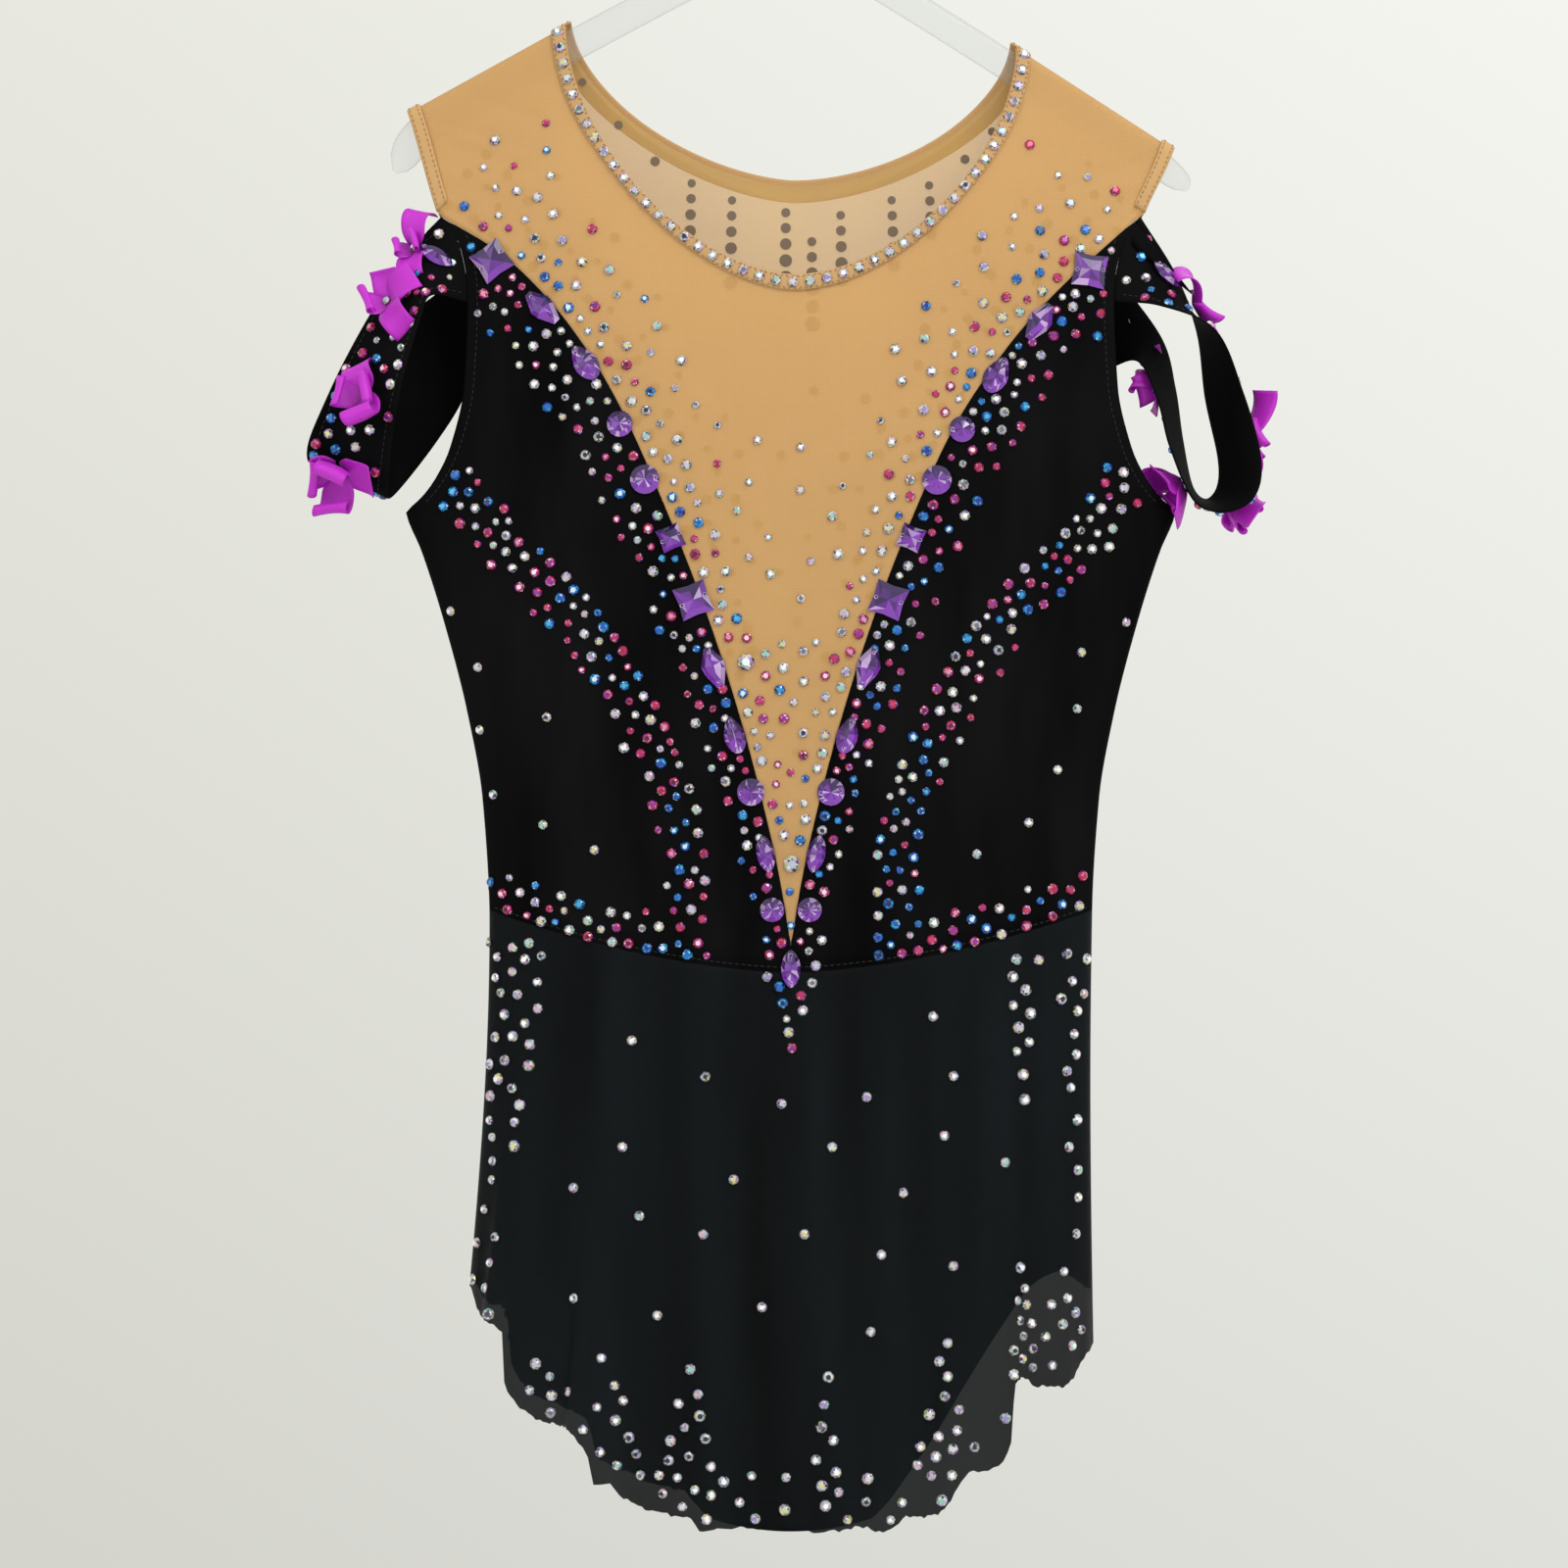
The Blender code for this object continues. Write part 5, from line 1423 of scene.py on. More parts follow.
@dataclass
class GluedStones:
    """Many small stones joined in one mesh."""

    name: str
    cut: StoneCut = field(default_factory=StoneCut)
    sunk: float = 0.15
    parts: list[tuple[Spots, Array, Array]] = field(default_factory=list)

    def add(self, spots: Spots, sizes: Array, tints: Array | None = None) -> None:
        """Adds stones at places, as clear crystals unless tints are given."""
        tints = np.zeros(len(sizes)) if tints is None else tints
        self.parts.append((spots, sizes, tints.astype(int)))

    def take(self, scatter: Scatter, surface: Surface, face: Face) -> None:
        """Adds the stones of a scatter, set on their surface."""
        rows = scatter.rows()
        self.add(Spots.on(surface, rows[:, 0], rows[:, 1], face.out, 1.0), rows[:, 2], rows[:, 3])

    def build(self, seed: int) -> None:
        """Makes the mesh: the template at each place, turned at random, its facets painted."""
        random = np.random.default_rng(seed)
        spots = Spots(*(np.concatenate([getattr(part[0], key) for part in self.parts])
                        for key in ("place", "aside", "along", "out")))
        size, tint = (np.concatenate([part[k] for part in self.parts]) for k in (1, 2))
        points, faces = self.cut.template()
        turn = random.uniform(0, 2 * math.pi, len(size))[:, None]
        x = points[:, 0] * np.cos(turn) - points[:, 1] * np.sin(turn)
        y = points[:, 0] * np.sin(turn) + points[:, 1] * np.cos(turn)
        radius = (size / 2 * MM)[:, None, None]
        high = points[None, :, 2:] * radius - self.sunk * MM
        placed = (spots.place[:, None] + radius * (x[..., None] * spots.aside[:, None]
                  + y[..., None] * spots.along[:, None]) + high * spots.out[:, None])
        every = [[k + first for k in face]
                 for first in range(0, len(size) * len(points), len(points)) for face in faces]
        mesh = mesh_of(self.name, placed, every, smooth=False)
        paint_faces(mesh, self.colours(random, tint, len(faces)))
        LOG.info("%s: %d stones", self.name, len(size))
        add_piece(mesh, CRYSTAL)

    def colours(self, random: np.random.Generator, tint: Array, facets: int) -> Array:
        """A colour for every facet of every stone, as painted reflections and shade: its palette at
        random, some tables a painted highlight, rims in painted shade.
        """
        palette, weights = np.array([PALETTES[t] for t in Tint]), np.array(FACET_SHARES)
        pick = random.choice(len(weights), size=(len(tint), facets), p=weights / weights.sum())
        bright = random.random(len(tint)) < np.where(tint == Tint.CRYSTAL.value, 0.36, 0.14)
        # Some tables take the painted highlight.
        pick[:, -2] = np.where(bright, PAINTED_HIGHLIGHT, pick[:, -2])
        shown = palette[tint[:, None], pick]
        shown[:, 0:-2:5] *= RIM_SHADE
        return shown.reshape(-1, 3)


@dataclass(frozen=True)
class Gem:
    """A sew-on stone: its cut, its place in (across, drop), its size and turn."""

    kind: str
    across: float
    drop: float
    length: float
    width: float
    turn: float


GEM_PAIRS = (
    Gem("square", 137.3, 244.6, 15.6, 15.6, 22), Gem("kite", 114.0, 267.5, 19.0, 11.0, 40),
    Gem("drop", 94.3, 292.5, 18.0, 11.5, 32), Gem("round", 78.3, 319.2, 12.0, 12.0, 0),
    Gem("round", 66.8, 343.6, 13.5, 13.5, 0), Gem("square", 54.9, 370.2, 11.0, 11.0, 22),
    Gem("square", 44.6, 398.7, 15.2, 15.2, 20), Gem("kite", 35.3, 429.4, 19.0, 11.0, 20),
    Gem("drop", 25.9, 460.4, 17.5, 10.0, 16), Gem("round", 18.3, 486.5, 12.6, 12.6, 0),
    Gem("navette", 11.6, 514.8, 17.5, 8.4, 12), Gem("round", 8.6, 540.5, 11.2, 11.2, 0),
)
MIDDLE_GEM = Gem("navette", 0.0, 567.5, 17.5, 9.0, 0)
BAND_GEMS = {Hand.LEFT: Gem("navette", 0.055, 0.42, 18.0, 8.2, 35),
             Hand.RIGHT: Gem("navette", 0.075, 0.30, 18.0, 8.2, 100)}
# Violet facet colours: painted shade, painted light, and a pale painted glint.
VIOLET_DARK = np.array((0.030, 0.008, 0.085))
VIOLET_LIT = np.array((0.25, 0.045, 0.52))
VIOLET_GLINT = np.array((0.62, 0.42, 0.80))


@dataclass
class SewOnStone:
    """One large faceted violet stone with two sewing holes."""

    node: str
    gem: Gem
    seed: int
    base: float = 0.9
    edge: float = 0.9
    high: float = 3.6

    @property
    def compact(self) -> bool:
        """Whether it is as wide as long, with its holes aside."""
        return self.gem.kind in ("square", "round")

    def outline(self) -> Array:
        """The girdle from above, long way up: a polygon or a pinched ellipse."""
        length, width, kind = self.gem.length, self.gem.width, self.gem.kind
        if kind == "square":
            corner = np.array([(-0.5, -0.5), (0.0, -0.455), (0.5, -0.5), (0.455, 0.0),
                               (0.5, 0.5), (0.0, 0.455), (-0.5, 0.5), (-0.455, 0.0)])
            return corner * (width, length)
        if kind == "kite":
            half = np.array([(0.16, -0.5), (0.46, -0.10), (0.5, 0.10), (0.14, 0.5)])
            return np.concatenate([half, half[::-1] * (-1, 1)]) * (width, length)
        angle = 2 * math.pi * np.arange(18) / 18 + math.pi / 2
        wide, tall = np.cos(angle), np.sin(angle)
        if kind == "navette":
            wide = wide * np.abs(np.cos(angle)) ** 0.35
        if kind == "drop":
            wide = wide * (1 - 0.45 * np.maximum(tall, 0))
        return np.stack([width / 2 * wide, length / 2 * tall], axis=1)

    def build(self, spots: Spots, clear: float) -> None:
        """Makes the stone at the first of the spots.

        Rings of points stand at the flat back, the girdle and the crown, and meet in a
        point (square and round) or a ridge (the long ones) on top.

        Args:
            spots: Where it is sewn.
            clear: How far its back stands off the cloth, in millimetres.
        """
        ring, turn = self.outline(), math.radians(self.gem.turn)
        spin = np.array([[math.cos(turn), math.sin(turn)], [-math.sin(turn), math.cos(turn)]])
        count = len(ring)
        crown = 0.62 if self.compact else 0.66
        ridge = ring * (0.04 if self.compact else (0.05, 0.34))
        levels = ((ring * self.base, 0.0), (ring, self.edge), (ring * crown, self.high * 0.8),
                  (ridge, self.high))
        flat = [np.column_stack([line @ spin, np.full(count, clear + up)]) for line, up in levels]
        faces = []
        for a, b, c, d in grid_faces(4, count, closed=True, turned=True).tolist():
            faces += [[a, b, c], [a, c, d]] if count <= a < 2 * count else [[a, b, c, d]]
        faces += [list(range(3 * count, 4 * count)), list(range(count))[::-1]]
        eyelets, eyelet_faces = self.eyelets(spin, clear, 4 * count)
        axes = np.stack([spots.aside[0], spots.along[0], spots.out[0]])
        points = spots.place[0] + np.concatenate([*flat, *eyelets]) @ axes * MM
        mesh = mesh_of(self.node + "_cut", points, faces + eyelet_faces, smooth=False)
        paint_faces(mesh, self.colours(mesh, len(eyelet_faces)))
        add_piece(mesh, VIOLET, self.node)

    def eyelets(self, spin: Array, clear: float, first: int) -> tuple[list[Array], list[list[int]]]:
        """Two small raised eyelets of thread and glass, near the ends of the stone."""
        reach = 0.36 * self.gem.length if self.gem.kind != "square" else 0.38 * self.gem.width
        sides, points, faces = 8, [], []
        turn = full_turn(sides)
        for side in (-1, 1):
            centre = side * reach * np.array([1.0, 0.12] if self.compact else [0.0, 1.0])
            for radius, up in ((1.15, 0.35), (0.95, 0.62), (0.62, 0.58)):
                circle = centre + radius * np.stack([np.cos(turn), np.sin(turn)], axis=1)
                high = clear + self.high * up + 0.3
                points.append(np.column_stack([circle @ spin, np.full(sides, high)]))
            faces += grid_faces(3, sides, first, closed=True, turned=True).tolist()
            first += 3 * sides
            faces.append(list(range(first - sides, first)))
        return points, faces

    def colours(self, mesh: bpy.types.Mesh, holes: int) -> Array:
        """Painted light: facets darker towards the top and brighter below, as light falls through a
        stone.

        Args:
            mesh: The stone.
            holes: How many of its last faces are eyelets.

        Returns:
            A colour for each face.
        """
        random = np.random.default_rng(self.seed)
        total = len(mesh.polygons)
        normal = np.empty(total * 3)
        mesh.polygons.foreach_get("normal", normal)
        high = normal.reshape(-1, 3)[:, 2]
        part = np.clip(0.5 - 1.5 * high + random.uniform(-0.5, 0.4, total), 0, 1)[:, None]
        shown = VIOLET_DARK * (1 - part) + VIOLET_LIT * part
        # Pale painted glints on some facets at random.
        pale = (random.random(total) < 0.16)[:, None]
        shown = np.where(pale, VIOLET_GLINT * (0.5 + 0.5 * part), shown)
        shown[-holes:] = (0.40, 0.28, 0.55)
        each = holes // 2
        # Each eyelet's top cap near black: painted shade in its hole.
        shown[total - holes + each - 1] = shown[total - 1] = (0.02, 0.005, 0.05)
        return shown


# Ribbon flowers


@dataclass(frozen=True)
class FlowerPlace:
    """Where a ribbon flower is sewn on a band, its size in millimetres and its turn."""

    round: float
    over: float
    size: float
    turn: float


LEFT_FLOWERS = (FlowerPlace(0.106, 0.10, 21, 215), FlowerPlace(0.192, 0.25, 25, 60),
                FlowerPlace(0.36, 0.54, 28, 40), FlowerPlace(0.54, 0.42, 31, 350),
                FlowerPlace(0.76, 0.45, 26, 20))
RIGHT_FLOWERS = (FlowerPlace(0.15, 0.30, 26, 200), FlowerPlace(0.34, 0.60, 24, 170),
                 FlowerPlace(0.48, 0.50, 26, 80), FlowerPlace(0.66, 0.62, 28, 30),
                 FlowerPlace(0.85, 0.62, 24, 60))


THROAT_HIGH = 2.4


@dataclass
class RibbonFlower:
    """A flower of short ribbon lengths, each curled back at its end, round a small stone."""

    node: str
    place: FlowerPlace
    seed: int
    petals: int = 4
    longs: tuple = ((0.92, 1.05), (0.56, 0.74))
    rows: int = 16
    columns: int = 8
    wall: float = 0.45
    mean_long: float = 0.74
    mean_wide: float = 0.58
    fill: float = 0.86

    def petal(self, random: np.random.Generator, bearing: float, long: float
              ) -> tuple[Array, Array]:
        """One petal as a grid of points in the flower's own frame, and its map.

        Its middle line starts flat and turns up and over by a growing angle, its width
        swells and narrows as a sine, and its edges cup upwards.

        Args:
            random: Draws its length, curl and twist.
            bearing: Which way it points.
            long: Its length as a share of the flower's size.

        Returns:
            The grid and the map.
        """
        size = self.place.size
        length, width = size * long, size * random.uniform(0.50, 0.62)
        part = np.linspace(0, 1, self.rows)[:, None]
        side = np.linspace(-1, 1, self.columns)[None, :]
        rise, curl = random.uniform(0.15, 0.7), random.choice([-2.2, 3.6, 5.0, -0.6, 0.8])
        angle = rise + curl * part**3.2
        step = length / (self.rows - 1)
        out = np.cumsum(np.cos(angle), axis=0) * step
        up = np.cumsum(np.sin(angle), axis=0) * step
        half = width / 2 * (0.55 + 0.45 * np.sin(math.pi / 2 * np.minimum(part * 3.2, 1)))
        twist = random.uniform(-0.6, 0.6) * part
        cup = 0.12 * width * side**2 * np.sin(math.pi * part)
        x = out + 0 * side
        y = half * side * np.cos(twist)
        z = up + half * side * np.sin(twist) + cup
        turned = np.stack([x * math.cos(bearing) - y * math.sin(bearing),
                           x * math.sin(bearing) + y * math.cos(bearing), z + 1.2], axis=-1)
        return turned, np.stack([half * side, length * part + 0 * side], axis=-1) * MM

    def build(self, spots: Spots) -> Spots:
        """Makes the flower on its band and returns the place of its middle stone."""
        random = np.random.default_rng(self.seed)
        axes = np.stack([spots.aside[0], spots.along[0], spots.out[0]])
        points, maps, faces = [], [], []
        for k in range(self.petals):
            bearing = 2 * math.pi * (k + random.uniform(-0.3, 0.3)) / self.petals
            grid, laid = self.petal(random, math.radians(self.place.turn) + bearing,
                                    random.uniform(*self.longs[k > 0]))
            faces.append(grid_faces(self.rows, self.columns, k * self.rows * self.columns))
            points.append(spots.place[0] + grid.reshape(-1, 3) @ axes * MM)
            maps.append(laid.reshape(-1, 2))
        mesh = mesh_of(self.node + "_ribbon", np.concatenate(points), np.concatenate(faces),
                       smooth=True)
        lay_map(mesh, np.concatenate(maps))
        piece = add_piece(mesh, RIBBON, self.node)
        thicken(piece, self.wall, 0)
        return Spots(spots.place + spots.out * THROAT_HIGH * MM, spots.aside, spots.along,
                     spots.out)


# Stitches


@dataclass
class Stitching:
    """Rows of short stitches joined in one mesh."""

    name: str
    finish: MottledFinish
    radius: float = 0.30
    long: float = 1.9
    pitch: float = 2.5
    starts: list[Array] = field(default_factory=list)
    ways: list[Array] = field(default_factory=list)

    def sew(self, line: Array, slant: float = 0.0, outward: Array | None = None) -> None:
        """Adds a row of stitches along a line of points in metres, each turned by slant."""
        count = max(2, int(np.linalg.norm(np.diff(line, axis=0), axis=1).sum() / (self.pitch * MM)))
        points = evenly(line, count)
        way = unit(np.gradient(points, axis=0))
        if slant and outward is not None:
            aside = np.cross(way, outward)
            sign = np.where(np.arange(len(way)) % 2, 1.0, -1.0)[:, None]
            way = unit(way + slant * sign * aside)
        self.starts.append(points)
        self.ways.append(way)

    def build(self) -> None:
        """Makes every stitch as a six-sided spindle: a middle ring and two points."""
        place, way = np.concatenate(self.starts), np.concatenate(self.ways)
        helper = np.where(np.abs(way[:, 1:2]) < 0.9, [[0.0, 1.0, 0.0]], [[1.0, 0.0, 0.0]])
        aside = unit(np.cross(way, helper))
        half = self.long / 2 * MM
        circle = circles(aside, np.cross(way, aside), 6) * self.radius * MM
        rings = [place[:, None] + way[:, None] * half * shift + circle for shift in (-0.55, 0.55)]
        tips = np.stack([place - way * half, place + way * half], axis=1)
        points = np.concatenate([*rings, tips], axis=1)
        faces = []
        for k in range(6):
            after = (k + 1) % 6
            faces += [[k, 6 + k, 6 + after], [k, 6 + after, after], [12, k, after],
                      [13, 6 + after, 6 + k]]
        first = points.shape[1] * np.arange(len(place))[:, None, None]
        every = (np.array(faces)[None] + first).reshape(-1, 3)
        add_piece(mesh_of(self.name, points, every, smooth=True), self.finish)


# Hanger


@dataclass
class Hanger:
    """The clear arms with the boss, and the wire hook."""

    half_height: float = 7.0
    half_thick: float = 3.5
    power: float = 3.0
    line_top: float = 83.6
    round_apex: float = 18.0
    half_span: float = 184.0
    bend_from: float = 164.0
    bend: float = 0.022
    boss_top: float = 76.0
    boss: tuple[tuple[float, float], ...] = ((0.5, 76.0), (4.6, 76.0), (5.7, 76.8), (6.0, 78.0),
                                             (6.0, 88.0), (5.2, 91.0), (0.5, 92.0))
    wire: float = 1.8
    hook_inner: float = 20.0
    stations: int = 161
    sides: int = 32
    hook_stations: int = 220
    hook_sides: int = 16

    def arms(self) -> Array:
        """The arms: a rounded section carried along their bent middle line, ends rounded."""
        across = np.linspace(-self.half_span, self.half_span, self.stations)
        drop = self.line_top + BODY.shoulder_slope * np.hypot(across, self.round_apex)
        drop = drop + self.bend * np.maximum(np.abs(across) - self.bend_from, 0) ** 2
        line = np.stack([across, drop], axis=1)
        along = unit(np.gradient(line, axis=0))
        to_end = np.clip((self.half_span - np.abs(across)) / 8.0, 0, 1)
        taper = np.sqrt(np.maximum(1 - (1 - to_end) ** 2, 0.02))[:, None]
        turn = full_turn(self.sides)
        high, thick = (half * np.sign(wave) * np.abs(wave) ** (2 / self.power) * taper
                       for half, wave in ((self.half_height, np.cos(turn)),
                                          (self.half_thick, np.sin(turn))))
        return BODY.hung(line[:, :1] + high * along[:, 1:], line[:, 1:] - high * along[:, :1],
                         thick)

    def build_arms(self) -> None:
        """Makes the arms and, from a turned profile, the boss that holds the hook."""
        points, turn = self.arms(), full_turn(self.sides)
        radius, drop = np.array(self.boss)[:, :1], np.array(self.boss)[:, 1:]
        boss = np.stack([radius * np.cos(turn) + BODY.middle_x, radius * np.sin(turn),
                         -drop + 0 * turn], axis=-1) * MM
        faces = (tube_faces(self.stations, self.sides)
                 + tube_faces(len(self.boss), self.sides, self.stations * self.sides))
        every = np.concatenate([points.reshape(-1, 3), boss.reshape(-1, 3)])
        mesh = mesh_of("hanger_arms_clear", every, faces, smooth=True)
        turn_outwards(mesh)
        mesh.set_sharp_from_angle(angle=math.radians(40))
        add_piece(mesh, CLEAR, "hanger_arms")

    def build_hook(self) -> None:
        """Makes the wire hook as a round section along its smooth line."""
        middle, count = self.hook_inner + self.wire, self.hook_stations
        start = [(0.0, 0.3 - self.boss_top), (0.0, -64.0), (0.0, -52.0), (5.0, -45.5),
                 (13.5, -38.5)]
        turn = np.radians(np.arange(-32, 201, 6.0))
        bow = np.stack([middle * np.cos(turn), middle * np.sin(turn) - self.hook_inner], axis=1)
        line = flowing(np.vstack([start, bow]), np.linspace(0, 1, count))
        lean = -math.atan2(-BODY.middle_x, self.boss_top)
        line = line @ np.array([[math.cos(lean), math.sin(lean)],
                                [-math.sin(lean), math.cos(lean)]])
        along, flat = unit(np.gradient(line, axis=0)), np.zeros(count)
        tip = np.clip((1 - np.linspace(0, 1, count)) * 60, 0.05, 1)[:, None, None] ** 0.5
        centre = np.stack([line[:, 0], flat, line[:, 1]], axis=1)
        side = np.stack([-along[:, 1], flat, along[:, 0]], axis=1)
        section = circles(side, np.tile([0.0, 1.0, 0.0], (count, 1)), self.hook_sides)
        points = (centre[:, None] + self.wire * tip * section) * MM
        mesh = mesh_of("hanger_hook_wire", points, tube_faces(count, self.hook_sides), smooth=True)
        turn_outwards(mesh)
        add_piece(mesh, METAL, "hanger_hook")


# The trim of stones over the garment


COLOURED = (0.34, 0.40, 0.26)
V_LINE = tuple(map(tuple, np.round(BODY.mesh_edge(24), 2)))
DIAGONAL = ((154, 343), (131, 375), (100, 406), (84, 430), (70, 454), (60, 478), (52, 500),
            (49, 520), (50, 545))
WAIST_LINE = ((39, 551), (66, 549), (92, 544), (116, 537), (136, 531))


def cloth_surface(face: Face) -> Surface:
    """The front's or the back's outer face above the waist, with the creases of its cloths."""
    yoke = BODY.surface(face, YOKE_CREASES)
    bodice = BODY.surface(face, BODICE_CREASES[face])

    def read(across: Array, drop: Array) -> Array:
        """Points in metres, on the mesh or on the black cloth."""
        mesh = BODY.in_mesh(across, drop)[..., None]
        return np.where(mesh, yoke(across, drop), bodice(across, drop))
    return read


def front_surface() -> Surface:
    """The front's outer face from the neck to the hem."""
    body, skirt = cloth_surface(Face.FRONT), FRONT_SKIRT.surface()

    def read(across: Array, drop: Array) -> Array:
        """Points in metres."""
        below = (drop > BODY.waist_drop(across))[..., None]
        return np.where(below, skirt(across, drop), body(across, drop))
    return read


def on_cloth(across: float, drop: float) -> bool:
    """Whether a place lies on the body's cloth, clear of the neck, armhole and outline."""
    side = abs(across)
    in_armhole = 216 < drop < BODY.underarm and side > BODY.armhole(drop) - 4.5
    outside = side > BODY.half_width(drop) - 1.5
    return not in_armhole and not outside and drop > BODY.shoulder_drop(side) + 12


NECK_PITCH = 7.7


@dataclass
class FrontTrim:
    """The glued stones of the garment's front, in belts, drips and singles."""

    seed: int = 11

    def belts(self) -> tuple[Belt, ...]:
        """The belts of the right side, which the left mirrors."""
        upper, lower = V_LINE[:13], V_LINE[12:]
        return (
            Belt(upper, (4, 4), (33, 24), (1.5, 3.8), COLOURED, 2000, 0.3),
            Belt(lower, (4, 4), (24, 13), (1.4, 2.7), COLOURED, 1700, 0.3),
            Belt(upper[1:], (-4.5, -4.5), (-20, -17), (2.2, 4.0), (0.50, 0.32, 0.18), 700),
            Belt(upper, (-16, -16), (-44, -40), (5.0, 9.0), (0.94, 0.03, 0.03), 260, 0.4),
            Belt(lower[:8], (-4, -4), (-17, -12), (2.0, 3.6), (0.55, 0.27, 0.18), 500),
            Belt(DIAGONAL[:2], (-8, -9), (8, 9), (1.5, 2.4), (0.74, 0.16, 0.10), 160, 0.4),
            Belt(DIAGONAL, (-11, -10), (12, 10.5), (1.6, 2.9), COLOURED, 1900, 0.3),
            Belt(WAIST_LINE, (-11, -7.5), (9, 8), (1.8, 3.0), COLOURED, 620),
        )

    def build(self, stones: GluedStones) -> None:
        """Scatters the bodice and the mesh, then the neck row and the taper below the tip."""
        scatter = Scatter(self.seed)
        for gem in (*GEM_PAIRS, MIDDLE_GEM):
            for side in (-1, 1):
                scatter.keep_clear(side * gem.across, gem.drop, gem.width * 0.52)
        for big in ((-20.5, 427.0), (0.5, 519.5)):
            scatter.put(*big, 8.0, Tint.CRYSTAL, 0.3)
        for side in (-1, 1):
            for belt in self.belts():
                belt.fill(scatter, side)
        self.inside_v(scatter)
        self.corners(scatter)
        self.singles(scatter)
        scatter.only(on_cloth)
        stones.take(scatter, front_surface(), Face.FRONT)
        self.neck_row(stones)

    def inside_v(self, scatter: Scatter) -> None:
        """Fills the narrow V between its two belts, and a few crystals higher in its middle."""
        random, count = scatter.random, 700
        drop = 548 - 130 * random.random(count) ** 1.3
        across = random.uniform(-1, 1, count) * np.maximum(BODY.v_edge(drop) - 3.2, 0)
        scatter.throw(across, drop, random.uniform(2.4, 4.6, count), scatter.sizes(count),
                      scatter.tints(count, (0.62, 0.22, 0.16)))
        drop = random.uniform(312, 430, 200)
        scatter.throw(random.uniform(-0.8, 0.8, 200) * BODY.v_edge(drop), drop, 13.0, 4.3)

    def corners(self, scatter: Scatter) -> None:
        """The sprinkle on the mesh above each corner of the V."""
        random, count = scatter.random, 160
        for side in (-1, 1):
            away = random.random(count)
            across = side * (158 - random.uniform(0, 44, count) - 6 * away)
            drop = 246 - 50 * away - 0.35 * (150 - np.abs(across))
            keep = drop < 246 - 0.9 * (150 - np.abs(across)) + 44
            scatter.throw(across[keep], drop[keep], 3.0 + 5 * away[keep],
                          scatter.sizes(count)[keep], scatter.tints(keep.sum(), (0.5, 0.3, 0.2)))

    def singles(self, scatter: Scatter) -> None:
        """Lone crystals over the black cloth, and the point of stones under the V."""
        random = scatter.random
        drop = random.uniform(372, 540, 500)
        across = random.uniform(-1, 1, 500) * (BODY.half_width(drop) - 2)
        keep = np.abs(across) > 48
        scatter.throw(across[keep], drop[keep], 20.0, 4.6)
        drop = 556 + 48 * random.random(420)
        across = random.uniform(-1, 1, 420) * np.maximum(17 - 0.36 * (drop - 556), 2.0)
        scatter.throw(across, drop, 1.8, scatter.sizes(420), scatter.tints(420, COLOURED))

    def neck_row(self, stones: GluedStones) -> None:
        """One row of crystals along the middle of the neck binding."""
        grid = Yoke(Face.FRONT).binding_grid(np.array([0.0, 0.5, 1.0]))
        length = np.linalg.norm(np.diff(grid[:, 1], axis=0), axis=1).sum() / MM
        edge, line, far_edge = (evenly(grid[:, k], int(length / NECK_PITCH))[1:-1]
                                for k in range(3))
        along = unit(np.gradient(line, axis=0))
        out = unit(np.cross(along, far_edge - edge))
        out = out * np.where(out[:, 1:2] > 0, -1.0, 1.0)
        stones.add(Spots(line, along, np.cross(out, along), out), np.full(len(line), STONE))


@dataclass
class SkirtTrim:
    """Crystals on the skirt: drips from the waist and the hem, a hem row and singles."""

    form: SkirtForm
    seed: int
    drips: tuple[Drip, ...] = (
        Drip(-122, 7.0, 556, 650), Drip(-134, 5.0, 556, 690), Drip(107, 7.0, 558, 632),
        Drip(131, 6.0, 556, 700), Drip(-40, 15.0, 808, 740), Drip(17.5, 6.0, 812, 744),
        Drip(72, 13.0, 800, 734), Drip(-76, 13.0, 800, 742), Drip(-126, 5.0, 748, 690),
        Drip(-108, 16.0, 778, 742), Drip(104, 10.0, 754, 700), Drip(124, 14.0, 756, 704),
    )

    def build(self, stones: GluedStones) -> None:
        """Scatters one half of the skirt."""
        scatter, form, count = Scatter(self.seed), self.form, 900
        random = scatter.random
        if form.face is Face.FRONT:
            scatter.keep_clear(0, 580, 24)
        for drip in self.drips:
            drip.fill(scatter)
        start = random.uniform(-138, 138, count)
        above = random.uniform(4, 25, count)
        scatter.throw(start, form.hem_drop(start) - above, 3.6 + 0.16 * above,
                      hem_sizes(random, count))
        start = random.uniform(-136, 136, count)
        drop = random.uniform(585, 800, count)
        keep = drop < form.hem_drop(start) - 24
        scatter.throw(start[keep], drop[keep], 22.0, 4.8)
        scatter.only(lambda across, drop: drop < form.hem_drop(across) - 3.5)
        stones.take(scatter, form.surface(), form.face)


